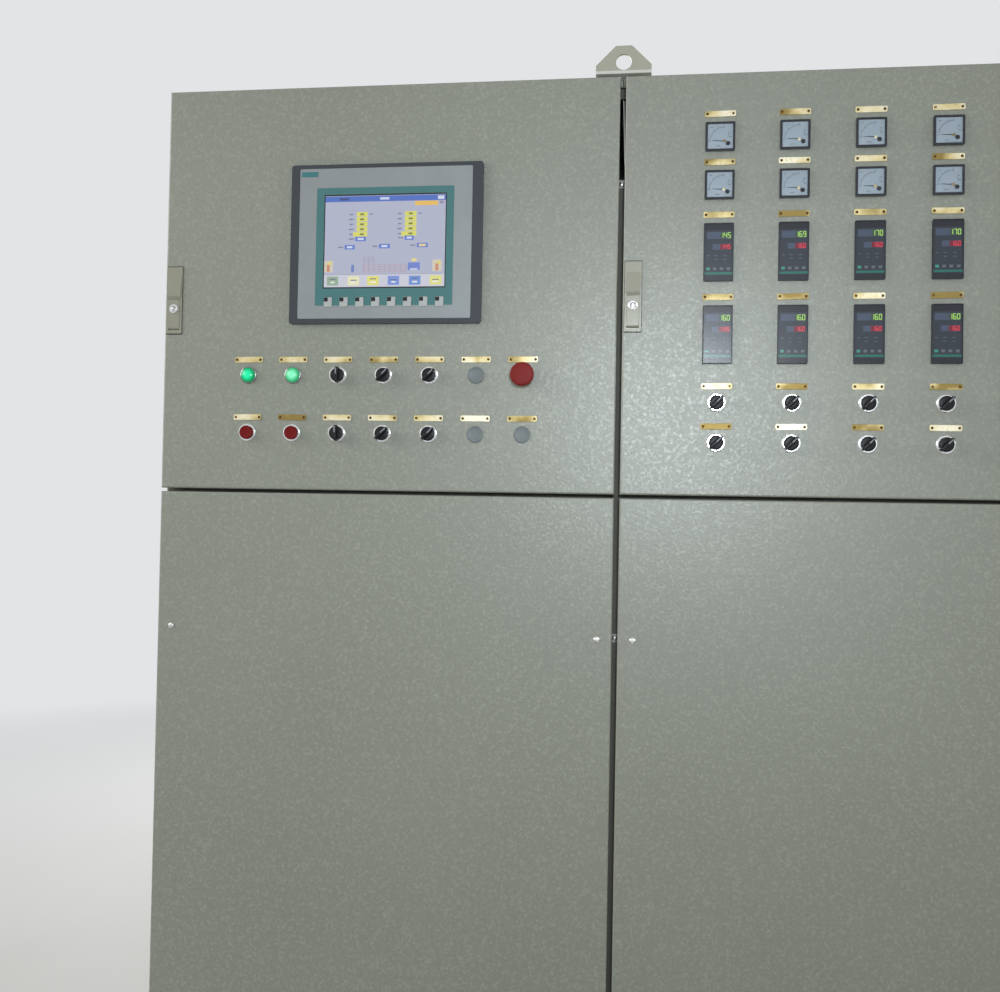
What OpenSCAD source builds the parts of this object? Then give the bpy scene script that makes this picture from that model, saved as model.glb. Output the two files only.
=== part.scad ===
// Two-bay control cabinet of a plastic extrusion line.
// Origin: on the floor, in the middle of the footprint. +X right, +Y to the rear, +Z up.

/* [Enclosure] */
// Width of one bay
bay_w = 800; // [700:50:1000]
// Depth from the doors' front to the back panels
cab_d = 600; // [500:50:800]
// Height of the enclosure without its plinth
cab_h = 2000; // [1800:50:2200]
// Height of the plinth
plinth_h = 100; // [60:10:200]
// How far the side and back panels stand out from the frame
panel_stand = 20; // [16:1:30]
// Sheet thickness of the side, back and roof panels
panel_t = 1.5; // [1:0.25:2]
// How far a panel sits inside its bay's outline
panel_inset = 1; // [0.5:0.5:2]
// Depth of the roof's folded rim
roof_rim = 15; // [10:1:25]
// Space between the roof's rim and the panels under it
roof_joint = 2; // [1:0.5:4]

/* [Frame] */
// Side of the frame profile
profile_w = 45; // [38:1:50]
// Wall of the frame profile
profile_t = 2; // [1.5:0.25:3]
// Step in the profile's inner corner
profile_step = 12; // [8:1:18]
// Distance from the doors' front to the front of the frame
frame_set = 31; // [31:1:36]
// Height of the cross rail behind the split between door and cover
split_rail_h = 84; // [80:2:110]
// Thickness of the sealing lip on the frame
lip_t = 2; // [1.5:0.25:3]

/* [Doors and covers] */
// Gap between two doors, and between two covers
door_gap = 9; // [9:0.5:12]
// How far the doors' top stays under the roof's top
roof_step = 8; // [6:0.5:12]
// Height of the upper doors
door_h = 700; // [690:5:760]
// Gap between a door and the cover under it
split_gap = 6; // [5:0.5:9]
// Gap between a cover and the plinth
foot_gap = 6; // [4:0.5:12]
// Sheet thickness of doors and covers
door_t = 2; // [1.5:0.25:2.5]
// Depth of their folded rim
rim_d = 22; // [20:0.5:22]
// Width of the flange folded in at the rim's rear
return_w = 12; // [8:1:14]
// Outer radius of the fold
fold_r = 3; // [2.5:0.25:4]
// Distance of the seal from the door's edge
seal_inset = 30; // [28:1:31]
// Width of the seal
seal_w = 10; // [8:1:12]
// Thickness of the seal
seal_t = 10; // [6:0.5:12]
// Distance of the stiffening bars from the door's edge
bar_inset = 44; // [43:1:45]
// Width of a stiffening bar
bar_w = 20; // [15:1:25]
// Depth of a stiffening bar
bar_d = 15; // [10:1:20]
// Wall of a stiffening bar
bar_t = 1.5; // [1:0.25:2]
// Distance of a cover's screws from its side edge
screw_inset = 25; // [22:0.5:25.5]
// Distance of a cover's screws from its top and bottom edge
screw_drop = 235; // [120:5:300]
// Diameter of the bosses behind the cover screws
boss_dia = 10; // [8:0.5:11]

/* [Hinges] */
// Distance of the pivot from the door's edge, and from its front
pivot_in = 8; // [7:0.25:8.5]
// Distance of a hinge's centre from the door's top or bottom edge
hinge_drop = 97; // [80:1:140]
// Height of the cut-out in the rim at a hinge
hinge_cut = 140; // [120:2:160]
// Height of the knuckle on the frame
knuckle_h = 50; // [30:2:60]
// Height of an ear on the door
ear_h = 16; // [10:1:20]
// Diameter of knuckle and ears
knuckle_dia = 10.4; // [9:0.2:11]
// Diameter of the hinge pin
pin_dia = 6; // [5:0.25:7]
// Thickness of the hinge plates
hinge_t = 3; // [2:0.5:4]

/* [Locks] */
// Width of the flush lock
lock_w = 28; // [24:1:32]
// Height of the flush lock
lock_h = 117; // [110:1:130]
// Distance of the lock from the door's edge
lock_inset = 3; // [2.5:0.5:4]
// Distance of the lock's top from the door's top
lock_drop = 312; // [200:5:400]
// How far the lock stands out from the door
lock_proud = 2; // [1:0.5:3]
// Height of the plain band at the lock's top
lock_band = 17; // [12:1:20]
// Height of the push flap
flap_h = 39; // [30:1:42]
// How far the push flap stands out from the lock
flap_proud = 2.5; // [1.5:0.5:4]
// Thickness of the lock's lever
lever_t = 10; // [8:0.5:11]
// Distance of the key cylinder from the lever's top
key_drop = 17; // [14:1:24]
// Diameter of the key cylinder
key_dia = 15.5; // [12:0.5:18]
// Width of the latch rod
rod_w = 8; // [6:1:9]
// Thickness of the latch rod
rod_t = 2.5; // [2:0.5:3]
// Distance of the latch rod's ends from the door's top and bottom
rod_end = 40; // [35:5:60]

/* [Operator panel] */
// Width of the operator panel
hmi_w = 335; // [300:5:345]
// Height of the operator panel
hmi_h = 275; // [260:5:290]
// Distance of its top from the door's top
hmi_drop = 139; // [90:1:145]
// How far it stands out from the door
hmi_proud = 7; // [5:0.5:10]
// Depth of its case behind the door
hmi_case_d = 55; // [30:5:80]
// How far its frame overlaps the cut-out in the door
hmi_overlap = 11; // [8:1:14]
// Left, right, top and bottom border of its dark frame
hmi_border = [14.5, 18, 6.5, 8.5];
// Thickness of its silver front plate
hmi_plate_t = 2.6; // [1.5:0.1:3]
// Width of the screen
screen_w = 214; // [200:1:220]
// Height of the screen
screen_h = 162; // [150:1:165]
// Place of the screen's centre, right of the panel's centre
screen_x = -1.5; // [-5:0.5:5]
// Distance of the screen's top from the panel's top
screen_drop = 52.5; // [48:0.5:56]
// Number of function keys
key_count = 8; // [6:1:8]
// Distance between two function keys
key_pitch = 27.8; // [20:0.1:27.8]
// Width and height of a function key
key_size = [14.5, 16.5];
// Distance of the keys' centre from the panel's bottom
key_row_up = 37; // [33:0.5:37]

/* [Round devices] */
// Distance between two columns on the left door
left_pitch = 80; // [60:1:80]
// Places of the left door's two rows, as shares of its height from the top
left_rows = [0.71714, 0.86];
// Diameter of the mounting holes
hole_dia = 22.5; // [22:0.1:24]
// Diameter of the chrome rings
ring_dia = 30; // [28:0.5:34]
// How far a ring stands out from the door
ring_proud = 4; // [3:0.5:6]
// Diameter of a selector's knob
knob_dia = 24; // [20:0.5:25]
// Height of a knob's grip above its ring
grip_h = 16; // [12:1:20]
// Width of a knob's grip
grip_w = 8; // [6:0.5:10]
// Diameter of a push button
button_dia = 24; // [20:0.5:25]
// How far a push button stands out from its ring
button_proud = 6; // [5:0.5:8]
// Travel of a push button
button_travel = 3.5; // [2:0.25:3.5]
// Diameter of the emergency stop's mushroom
mushroom_dia = 40; // [35:1:45]
// Travel of the emergency stop
mushroom_travel = 5; // [4:0.5:6]
// Diameter of an indicator lamp's lens
lens_dia = 26; // [22:0.5:28]
// Diameter of a blanking plug
plug_dia = 28.5; // [27:0.5:32]
// Width, height and depth of a contact block behind the door
block_size = [30, 40, 38];

/* [Meters and controllers] */
// Distance between two columns on the right door
right_pitch = 120; // [90:1:125]
// Number of columns on the right door
right_cols = 5; // [3:2:5]
// Places of the two meter rows, as shares of the door's height from its top
meter_rows = [0.15357, 0.26786];
// Places of the two controller rows, as shares of the door's height from its top
controller_rows = [0.42714, 0.62143];
// Places of the two selector rows, as shares of the door's height from its top
right_rows = [0.78071, 0.875];
// Side of a meter's square front
meter_w = 48; // [44:1:52]
// Height of a controller's front
controller_h = 96; // [90:1:98]
// Width of a bezel's overlap on its cut-out
bezel_overlap = 1.5; // [1:0.25:2]
// How far meters and controllers stand out from the door
bezel_proud = 5; // [3:0.5:8]
// Width of the bezel round a meter's dial
meter_rim = 2.6; // [2:0.2:4]
// Depth of a meter's case behind the door
meter_d = 42; // [30:2:60]
// Depth of a controller's case behind the door
controller_d = 85; // [60:5:90]

/* [Name plates] */
// Width, height and thickness of a brass name plate
plate_size = [50, 10, 1];
// Space between a name plate and a square device under it
plate_gap = 9.5; // [8:0.5:12]
// Space between a name plate and a round device under it
ring_plate_gap = 6.8; // [5:0.1:8]

/* [Roof and floor] */
// Width of a lifting lug
lug_w = 93; // [80:1:110]
// Height of a lifting lug over the roof
lug_h = 47; // [44:1:60]
// Thickness of a lifting lug
lug_t = 5; // [4:0.5:8]
// Length of the lug's foot on the roof
lug_foot = 75; // [60:1:90]
// Distance of the lug's upright from the doors' front
lug_set = 8; // [6:1:12]
// Diameter of the lug's eye
eye_dia = 27; // [22:1:30]
// Height of the eye's centre over the roof
eye_z = 19.5; // [18:0.5:24]
// Height of the lug's straight sides
lug_side = 14; // [10:1:16]
// Length of a plinth corner along X and Y
corner_l = 100; // [80:5:120]
// Wall of the plinth corners
corner_t = 4; // [3:0.5:5]
// Distance of the plinth's face from the doors' front
plinth_set = 31; // [20:1:40]
// Diameter of the floor anchor holes
anchor_dia = 13; // [11:1:15]
// Distance of an anchor hole from the plinth's two faces
anchor_in = 50; // [35:1:55]
// Number of gland plates in a bay's floor
gland_count = 3; // [2:1:4]
// Thickness of the mounting plates
mount_t = 3; // [2:0.5:4]
// Distance between mounting plate and rear posts
mount_gap = 6; // [4:1:20]
// Space over and under a mounting plate
mount_margin = 60; // [55:5:120]
// Heights of the bay couplings under the doors' top
coupling_drops = [172, 941, 1700];
// Height of a bay coupling
coupling_h = 14; // [10:1:30]
// Depth of a bay coupling
coupling_d = 30; // [20:1:40]

/* [Fits] */
// Running gap round a hinge pin, and round a trunnion
pin_fit = 0.05; // [0.03:0.01:0.1]
// Gap between a moving piece and its seat
seat_gap = 0.3; // [0.2:0.05:0.5]
// Gap round a piece set into another
set_gap = 0.2; // [0.1:0.05:0.4]

/* [Hidden] */
$fn = 48;
left_x = -bay_w / 2;
right_x = bay_w / 2;
front_y = -cab_d / 2;
rear_y = cab_d / 2;
roof_z = plinth_h + cab_h;
door_top = roof_z - roof_step;
door_w = bay_w - door_gap;
cover_top = door_top - door_h - split_gap;
cover_h = cover_top - plinth_h - foot_gap;
frame_y0 = front_y + frame_set;
frame_y1 = rear_y - panel_stand;
post_x = bay_w / 2 - panel_stand;
rail_x = post_x - profile_w;
frame_top = roof_z - panel_t;
panel_top = roof_z - roof_rim - roof_joint;
side_l = frame_y1 - frame_y0;
seal_line = seal_inset + seal_w / 2;
lip_y0 = front_y + door_t + seal_t + seat_gap;
split_z = cover_top + split_gap / 2;
pivot_x = door_w / 2 - pivot_in;
hinge_zs = [-hinge_drop, -door_h + hinge_drop];
notch_in = 2 * pivot_in;
lock_x = -door_w / 2 + lock_inset + lock_w / 2;
lock_wall = 2.3;
lock_back = 16;
pocket_top = -lock_band - flap_h;
pocket_bottom = -lock_h + 6;
pocket_d = lever_t + seat_gap + 0.5;
lever_w = lock_w - 8;
lever_top = pocket_top - 0.8;
lever_pivot = [-lock_proud - 0.5 + lever_t / 2, pocket_bottom + lever_t / 2 + 0.4];
trunnion_dia = 4;
trunnion_l = 1;
rod_y = front_y + rim_d - door_t - rod_t - 1;
rod_x = -door_w / 2 + (return_w + seal_inset) / 2;
hmi_z = -hmi_drop - hmi_h / 2;
hmi_plate_w = hmi_w - hmi_border[0] - hmi_border[1];
hmi_plate_h = hmi_h - hmi_border[2] - hmi_border[3];
hmi_plate_x = (hmi_border[0] - hmi_border[1]) / 2;
hmi_plate_z = hmi_h / 2 - hmi_border[2] - hmi_plate_h / 2;
hmi_floor = -hmi_proud + hmi_plate_t + 0.4;
screen_z = hmi_h / 2 - screen_drop - screen_h / 2;
keys_z = -hmi_h / 2 + key_row_up;
stub_dia = 8;
stub_l = 3;
nut_t = 4;
nut_dia = ring_dia - 2;
meter_cut = meter_w - 2 * bezel_overlap;
controller_cut = controller_h - 2 * bezel_overlap;
controller_w = meter_w;
anchor_x = bay_w - panel_inset - anchor_in;
plinth_y0 = front_y + plinth_set;
plinth_y1 = rear_y - plinth_set;

// Columns and kinds of the left door's round devices, row by row.
// A selector's second value is the angle its pointer rests at, clockwise from the top.
LAMP = 0;
SELECTOR = 1;
PLUG = 2;
STOP = 3;
BUTTON = 4;
left_devices = [
    [[LAMP, 0], [LAMP, 0], [SELECTOR, 0], [SELECTOR, 45], [SELECTOR, 45], [PLUG, 0], [STOP, 0]],
    [[BUTTON, 0], [BUTTON, 0], [SELECTOR, 0], [SELECTOR, 45], [SELECTOR, 45], [PLUG, 0], [PLUG, 0]]
];
left_cols = len(left_devices[0]);
left_zs = -door_h * left_rows;
meter_zs = -door_h * meter_rows;
controller_zs = -door_h * controller_rows;
right_zs = -door_h * right_rows;
function left_col(i) = (i - (left_cols - 1) / 2) * left_pitch;
function right_col(i) = (i - (right_cols - 1) / 2) * right_pitch;
// Every left device of one kind, as [x, z, angle]
function left_of(kind) = [
    for (r = [0 : 1]) for (c = [0 : left_cols - 1])
        if (left_devices[r][c][0] == kind) [left_col(c), left_zs[r], left_devices[r][c][1]]
];
left_selectors = left_of(SELECTOR);
right_selectors = [
    for (r = [0 : 1]) for (c = [0 : right_cols - 1]) [right_col(c), right_zs[r], 45]
];

// A box between two corners
module box(low, high) {
    translate(low) cube(high - low);
}

// Turns the local Z axis into +Y, into the cabinet
module along_y() {
    rotate([-90, 0, 0]) children();
}

// Carries a shape to a bay's door: x from its middle, y from its front, z from its top
module on_door(bay_x) {
    translate([bay_x, front_y, door_top]) children();
}

module on_both_bays() {
    for (x = [left_x, right_x]) translate([x, 0, 0]) children();
}

// A rectangle with round corners, centred, in the door's plane and t deep from y
module rounded_plate(w, h, y, t, r) {
    translate([0, y, 0]) along_y() linear_extrude(t) {
        square([w - 2 * r, h], center = true);
        square([w, h - 2 * r], center = true);
        for (sx = [-1, 1], sy = [-1, 1])
            translate([sx * (w / 2 - r), sy * (h / 2 - r)]) circle(r);
    }
}

// Section of a folded sheet: its two front corners are round
module fold_outline(w, d) {
    translate([-w / 2, fold_r]) square([w, d - fold_r]);
    translate([-w / 2 + fold_r, 0]) square([w - 2 * fold_r, d]);
    for (s = [-1, 1]) translate([s * (w / 2 - fold_r), fold_r]) circle(fold_r);
}

// A sheet folded back on four sides, with a flange turned in at the rear.
// Its front is at y = 0, its bottom at z = 0.
module folded_panel(w, h, d, t, flange) {
    difference() {
        intersection() {
            linear_extrude(h) fold_outline(w, d);
            translate([w / 2, 0, h / 2]) rotate([0, -90, 0])
                linear_extrude(w) fold_outline(h, d);
        }
        box([-w / 2 + t, t, t], [w / 2 - t, d - t, h - t]);
        box([-w / 2 + flange, t, flange], [w / 2 - flange, d + 1, h - flange]);
    }
}

module door_sheet(h) {
    translate([0, 0, -h]) folded_panel(door_w, h, rim_d, door_t, return_w);
}

// Holes for round devices, from a list of [x, z, ...]
module round_cuts(places) {
    for (p = places) translate([p[0], -1, p[1]]) along_y() cylinder(d = hole_dia, h = door_t + 2);
}

// A rectangular hole through the door sheet
module square_cut(x, z, w, h) {
    box([x - w / 2, -1, z - h / 2], [x + w / 2, door_t + 1, z + h / 2]);
}

// What every upper door has cut out: the lock's hole and the rim at the hinges
module door_cuts() {
    square_cut(lock_x, -lock_drop - lock_h / 2, lock_w - 2 * lock_wall, lock_h - 8);
    for (z = hinge_zs)
        box([door_w / 2 - notch_in, door_t, z - hinge_cut / 2],
            [door_w / 2 + 1, rim_d + 1, z + hinge_cut / 2]);
}

module left_upper_door() {
    color([0.55, 0.57, 0.52]) on_door(left_x) difference() {
        door_sheet(door_h);
        door_cuts();
        square_cut(0, hmi_z, hmi_w - 2 * hmi_overlap, hmi_h - 2 * hmi_overlap);
        for (kind = [LAMP, SELECTOR, PLUG, STOP, BUTTON]) round_cuts(left_of(kind));
    }
}

module right_upper_door() {
    color([0.55, 0.57, 0.52]) on_door(right_x) difference() {
        door_sheet(door_h);
        door_cuts();
        round_cuts(right_selectors);
        for (c = [0 : right_cols - 1]) {
            for (z = meter_zs) square_cut(right_col(c), z, meter_cut, meter_cut);
            for (z = controller_zs) square_cut(right_col(c), z, meter_cut, controller_cut);
        }
    }
}

// A cover under a door, with a boss behind each of its four screws
module lower_cover(bay_x) {
    color([0.55, 0.57, 0.52]) translate([bay_x, front_y, cover_top]) {
        door_sheet(cover_h);
        for (s = [-1, 1], z = [-screw_drop, -cover_h + screw_drop])
            translate([s * (door_w / 2 - screw_inset), door_t, z])
                along_y() cylinder(d = boss_dia, h = frame_set - door_t);
    }
}

module left_lower_cover() {
    lower_cover(left_x);
}

module right_lower_cover() {
    lower_cover(right_x);
}

// A square tube between two corners, open along the axis with this index
module tube(low, high, axis, wall) {
    inset = [for (i = [0 : 2]) i == axis ? -1 : wall];
    difference() {
        box(low, high);
        box(low + inset, high - inset);
    }
}

// Four stiffening tubes on the inside of a door, apart from each other at the corners
module door_bars() {
    x1 = door_w / 2 - bar_inset;
    y1 = door_t + bar_d;
    for (s = [-1, 1]) {
        xs = s * (x1 - bar_w / 2);
        tube([xs - bar_w / 2, door_t, -door_h + bar_inset], [xs + bar_w / 2, y1, -bar_inset], 2, bar_t);
    }
    for (z = [-bar_inset - bar_w, -door_h + bar_inset])
        tube([-x1 + bar_w + 2, door_t, z], [x1 - bar_w - 2, y1, z + bar_w], 0, bar_t);
}

module left_door_bars() {
    color("lightgrey") on_door(left_x) door_bars();
}

module right_door_bars() {
    color("lightgrey") on_door(right_x) door_bars();
}

module door_seal() {
    w = door_w - 2 * seal_inset;
    h = door_h - 2 * seal_inset;
    translate([0, 0, -door_h / 2]) difference() {
        rounded_plate(w, h, door_t, seal_t, 15);
        rounded_plate(w - 2 * seal_w, h - 2 * seal_w, door_t - 1, seal_t + 2, 5);
    }
}

module left_door_seal() {
    color([0.15, 0.15, 0.15]) on_door(left_x) door_seal();
}

module right_door_seal() {
    color([0.15, 0.15, 0.15]) on_door(right_x) door_seal();
}

// The door's half of one hinge: a plate on the sheet and two ears round the pin
module door_hinge() {
    plate_x = pivot_x - knuckle_dia / 2 - 0.8;
    plate_h = knuckle_h + 2 * (ear_h + 2 * seat_gap);
    box([door_w / 2 - seal_inset + seat_gap, door_t, -plate_h / 2],
        [plate_x, door_t + hinge_t, plate_h / 2]);
    for (s = [-1, 1]) {
        z0 = s > 0 ? knuckle_h / 2 + seat_gap : -knuckle_h / 2 - seat_gap - ear_h;
        translate([0, 0, z0]) difference() {
            union() {
                translate([pivot_x, pivot_in, 0]) cylinder(d = knuckle_dia, h = ear_h);
                box([plate_x - 8, door_t, 0], [pivot_x, pivot_in + 2, ear_h]);
            }
            translate([pivot_x, pivot_in, -1]) cylinder(d = pin_dia + 2 * pin_fit, h = ear_h + 2);
        }
    }
}

module left_door_hinges() {
    color("silver") on_door(left_x) for (z = hinge_zs) translate([0, 0, z]) door_hinge();
}

module right_door_hinges() {
    color("silver") on_door(right_x) for (z = hinge_zs) translate([0, 0, z]) door_hinge();
}

// The frame's half of one hinge: foot on the post, cranked arm, knuckle and pin
module frame_hinge() {
    foot_x0 = door_w / 2 - seal_line + lip_t;
    foot_x1 = post_x;
    pin_l = knuckle_h + 2 * (ear_h + seat_gap) + 2;
    translate([0, 0, -knuckle_h / 2]) {
        box([foot_x0, frame_set - hinge_t, 0], [foot_x1, frame_set, knuckle_h]);
        linear_extrude(knuckle_h) polygon([
            [foot_x0 + 2, frame_set - hinge_t], [pivot_x - 3, pivot_in],
            [pivot_x + 2, pivot_in + 2], [foot_x1 - 1, frame_set - hinge_t]
        ]);
        translate([pivot_x, pivot_in, 0]) cylinder(d = knuckle_dia, h = knuckle_h);
    }
    translate([pivot_x, pivot_in, -pin_l / 2]) cylinder(d = pin_dia, h = pin_l);
}

module hinge_brackets() {
    color("silver") for (x = [left_x, right_x]) on_door(x)
        for (z = hinge_zs) translate([0, 0, z]) frame_hinge();
}

// The lock's push flap, seen from the side: it rises towards its lower end
module push_flap() {
    w = lock_w - 2 * lock_wall;
    translate([w / 2, 0, 0]) rotate([0, -90, 0]) linear_extrude(w) polygon([
        [pocket_top + 0.5, 0], [pocket_top + 0.5, -lock_proud],
        [pocket_top + 5, -lock_proud - flap_proud], [-lock_band - 1, -lock_proud - 0.3],
        [-lock_band - 1, 0]
    ]);
}

// The flush lock's body, z from its top
module lock_body() {
    difference() {
        union() {
            translate([0, 0, -lock_h / 2]) rounded_plate(lock_w, lock_h, -lock_proud, lock_proud, 1);
            box([-lock_w / 2 + lock_wall + set_gap, 0, -lock_h + 4 + set_gap],
                [lock_w / 2 - lock_wall - set_gap, lock_back, -4 - set_gap]);
            push_flap();
        }
        box([-lever_w / 2 - seat_gap, -lock_proud - 1, pocket_bottom],
            [lever_w / 2 + seat_gap, pocket_d - lock_proud, pocket_top]);
        translate([-lever_w / 2 - trunnion_l - set_gap, lever_pivot[0], lever_pivot[1]])
            rotate([0, 90, 0]) cylinder(d = trunnion_dia + 2 * pin_fit, h = lever_w + 2 * (trunnion_l + set_gap));
    }
}

// The lever that springs out of the lock, with its round lower end on two trunnions
module lock_lever() {
    w = lever_w;
    y0 = lever_pivot[0] - lever_t / 2;
    translate([-w / 2, 0, 0]) rotate([90, 0, 90]) linear_extrude(w) {
        translate([y0, lever_pivot[1]]) square([lever_t, lever_top - lever_pivot[1]]);
        translate(lever_pivot) circle(d = lever_t);
    }
    translate([0, y0 - 1.2, lever_top - key_drop]) along_y() cylinder(d = key_dia, h = 2);
    translate([-w / 2 - trunnion_l, lever_pivot[0], lever_pivot[1]]) rotate([0, 90, 0])
        cylinder(d = trunnion_dia, h = w + 2 * trunnion_l);
}

module on_lock(bay_x) {
    on_door(bay_x) translate([lock_x, 0, -lock_drop]) children();
}

module left_lock_body() {
    color([0.50, 0.50, 0.44]) on_lock(left_x) lock_body();
}

module right_lock_body() {
    color([0.50, 0.50, 0.44]) on_lock(right_x) lock_body();
}

module left_lock_lever() {
    color([0.50, 0.50, 0.44]) on_lock(left_x) lock_lever();
}

module right_lock_lever() {
    color([0.50, 0.50, 0.44]) on_lock(right_x) lock_lever();
}

// The flat latch rod behind the lock, in two guides
module latch_rod() {
    y0 = rod_y - front_y;
    box([rod_x - rod_w / 2, y0, -door_h + rod_end], [rod_x + rod_w / 2, y0 + rod_t, -rod_end]);
    for (z = [-rod_end - 60, -door_h + rod_end + 60])
        box([rod_x - rod_w / 2, door_t, z - 8], [rod_x + rod_w / 2, y0, z + 8]);
}

module left_latch_rod() {
    color("silver") on_door(left_x) latch_rod();
}

module right_latch_rod() {
    color("silver") on_door(right_x) latch_rod();
}

// A brass plate whose lower edge is this far over a device's upper edge
module name_plate(x, device_top, gap) {
    z0 = device_top + gap;
    box([x - plate_size[0] / 2, -plate_size[2], z0], [x + plate_size[0] / 2, 0, z0 + plate_size[1]]);
}

module left_name_plates() {
    color("gold") on_door(left_x) for (z = left_zs, c = [0 : left_cols - 1])
        name_plate(left_col(c), z + ring_dia / 2, ring_plate_gap);
}

module right_name_plates() {
    color("gold") on_door(right_x) for (c = [0 : right_cols - 1]) {
        for (z = meter_zs) name_plate(right_col(c), z + meter_w / 2, plate_gap);
        for (z = controller_zs) name_plate(right_col(c), z + controller_h / 2, plate_gap);
        for (z = right_zs) name_plate(right_col(c), z + ring_dia / 2, ring_plate_gap);
    }
}

module on_hmi() {
    on_door(left_x) translate([0, 0, hmi_z]) children();
}

// Dark front frame and the case behind the door, one housing
module operator_panel_case() {
    color([0.27, 0.29, 0.31]) on_hmi() {
        difference() {
            rounded_plate(hmi_w, hmi_h, -hmi_proud, hmi_proud, 5);
            translate([hmi_plate_x, 0, hmi_plate_z])
                rounded_plate(hmi_plate_w, hmi_plate_h, -hmi_proud - 1, hmi_floor + hmi_proud + 1, 3);
        }
        box([-hmi_w / 2 + hmi_overlap + set_gap, hmi_floor, -hmi_h / 2 + hmi_overlap + set_gap],
            [hmi_w / 2 - hmi_overlap - set_gap, hmi_case_d, hmi_h / 2 - hmi_overlap - set_gap]);
    }
}

function key_x(i) = screen_x + (i - (key_count - 1) / 2) * key_pitch;

// Silver front plate with a window for the screen and one for each key
module operator_panel_plate() {
    color([0.55, 0.57, 0.58]) on_hmi() difference() {
        translate([hmi_plate_x, 0, hmi_plate_z])
            rounded_plate(hmi_plate_w - 2 * set_gap, hmi_plate_h - 2 * set_gap,
                          hmi_floor - hmi_plate_t, hmi_plate_t, 3 - set_gap);
        box([screen_x - screen_w / 2, -hmi_proud - 1, screen_z - screen_h / 2],
            [screen_x + screen_w / 2, 0, screen_z + screen_h / 2]);
        for (i = [0 : key_count - 1])
            box([key_x(i) - key_size[0] / 2, -hmi_proud - 1, keys_z - key_size[1] / 2],
                [key_x(i) + key_size[0] / 2, 0, keys_z + key_size[1] / 2]);
    }
}

module operator_panel_screen() {
    color([0.70, 0.73, 0.81]) on_hmi()
        box([screen_x - screen_w / 2 + set_gap, hmi_floor - hmi_plate_t + 0.6,
             screen_z - screen_h / 2 + set_gap],
            [screen_x + screen_w / 2 - set_gap, hmi_floor, screen_z + screen_h / 2 - set_gap]);
}

module operator_panel_keys() {
    color([0.75, 0.78, 0.78]) on_hmi() for (i = [0 : key_count - 1])
        translate([key_x(i), 0, keys_z])
            rounded_plate(key_size[0] - 2 * set_gap, key_size[1] - 2 * set_gap,
                          hmi_floor - hmi_plate_t - 1, hmi_plate_t + 1, 1);
}

// What holds a round device from behind: its neck, its nut and its contact block
module device_back(neck_dia) {
    along_y() {
        cylinder(d = neck_dia, h = door_t + nut_t);
        translate([0, 0, door_t]) cylinder(d = nut_dia, h = nut_t);
    }
    y0 = door_t + nut_t;
    box([-block_size[0] / 2, y0, -block_size[1] / 2], [block_size[0] / 2, y0 + block_size[2], block_size[1] / 2]);
}

// A bevelled ring on the door's face
module ring(dia) {
    along_y() translate([0, 0, -ring_proud]) rotate_extrude() polygon([
        [0, 0], [dia / 2 - 1.2, 0], [dia / 2, 1.2], [dia / 2, ring_proud], [0, ring_proud]
    ]);
}

// Ring and back of a selector, with the bore of the knob's stub
module selector_base() {
    difference() {
        union() {
            ring(ring_dia);
            device_back(hole_dia - 2 * set_gap);
        }
        translate([0, -ring_proud - 1, 0]) along_y()
            cylinder(d = stub_dia + 2 * pin_fit, h = stub_l + 1 + seat_gap);
    }
}

// Ring and back of a push button, open for the button's travel
module button_base() {
    difference() {
        union() {
            ring(ring_dia);
            device_back(hole_dia - 2 * set_gap);
        }
        translate([0, -ring_proud - 1, 0]) along_y()
            cylinder(d = button_dia + 2 * seat_gap, h = 1 + button_travel + seat_gap);
        translate([0, -ring_proud - 1, 0]) along_y()
            cylinder(d = stub_dia + 2 * pin_fit, h = ring_proud + 12);
    }
}

module stop_base() {
    difference() {
        union() {
            ring(ring_dia);
            device_back(hole_dia - 2 * set_gap);
        }
        translate([0, -ring_proud - 1, 0]) along_y()
            cylinder(d = stub_dia + 2 * pin_fit, h = ring_proud + 18);
    }
}

module left_switch_bases() {
    color("silver") on_door(left_x) {
        for (p = left_selectors) translate([p[0], 0, p[1]]) selector_base();
        for (p = left_of(BUTTON)) translate([p[0], 0, p[1]]) button_base();
        for (p = left_of(STOP)) translate([p[0], 0, p[1]]) stop_base();
    }
}

module right_switch_bases() {
    color("silver") on_door(right_x) for (p = right_selectors)
        translate([p[0], 0, p[1]]) selector_base();
}

// A knob with a straight grip, its pointer turned clockwise from the top by p[2]
module selector_knob(bay_x, p) {
    color([0.12, 0.12, 0.13]) on_door(bay_x) translate([p[0], -ring_proud - seat_gap, p[1]])
        rotate([0, p[2], 0]) {
            translate([0, -5, 0]) along_y() cylinder(d = knob_dia, h = 5);
            translate([0, -grip_h, 0]) along_y() linear_extrude(grip_h) {
                square([grip_w, knob_dia + 4 - grip_w], center = true);
                for (s = [-1, 1]) translate([0, s * (knob_dia + 4 - grip_w) / 2]) circle(d = grip_w);
            }
            along_y() cylinder(d = stub_dia, h = stub_l);
        }
}

// A flat button with a round edge, on a stem
module push_button(p) {
    color([0.45, 0.15, 0.13]) on_door(left_x) translate([p[0], -ring_proud - button_proud, p[1]])
        along_y() {
            rotate_extrude() {
                translate([0, 1]) square([button_dia / 2, button_proud - 1]);
                square([button_dia / 2 - 1, 2]);
                intersection() {
                    translate([button_dia / 2 - 1, 1]) circle(1);
                    square([button_dia / 2, button_proud]);
                }
            }
            cylinder(d = stub_dia, h = button_proud + ring_proud);
        }
}

module push_button_1() {
    push_button(left_of(BUTTON)[0]);
}

module push_button_2() {
    push_button(left_of(BUTTON)[1]);
}

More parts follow.
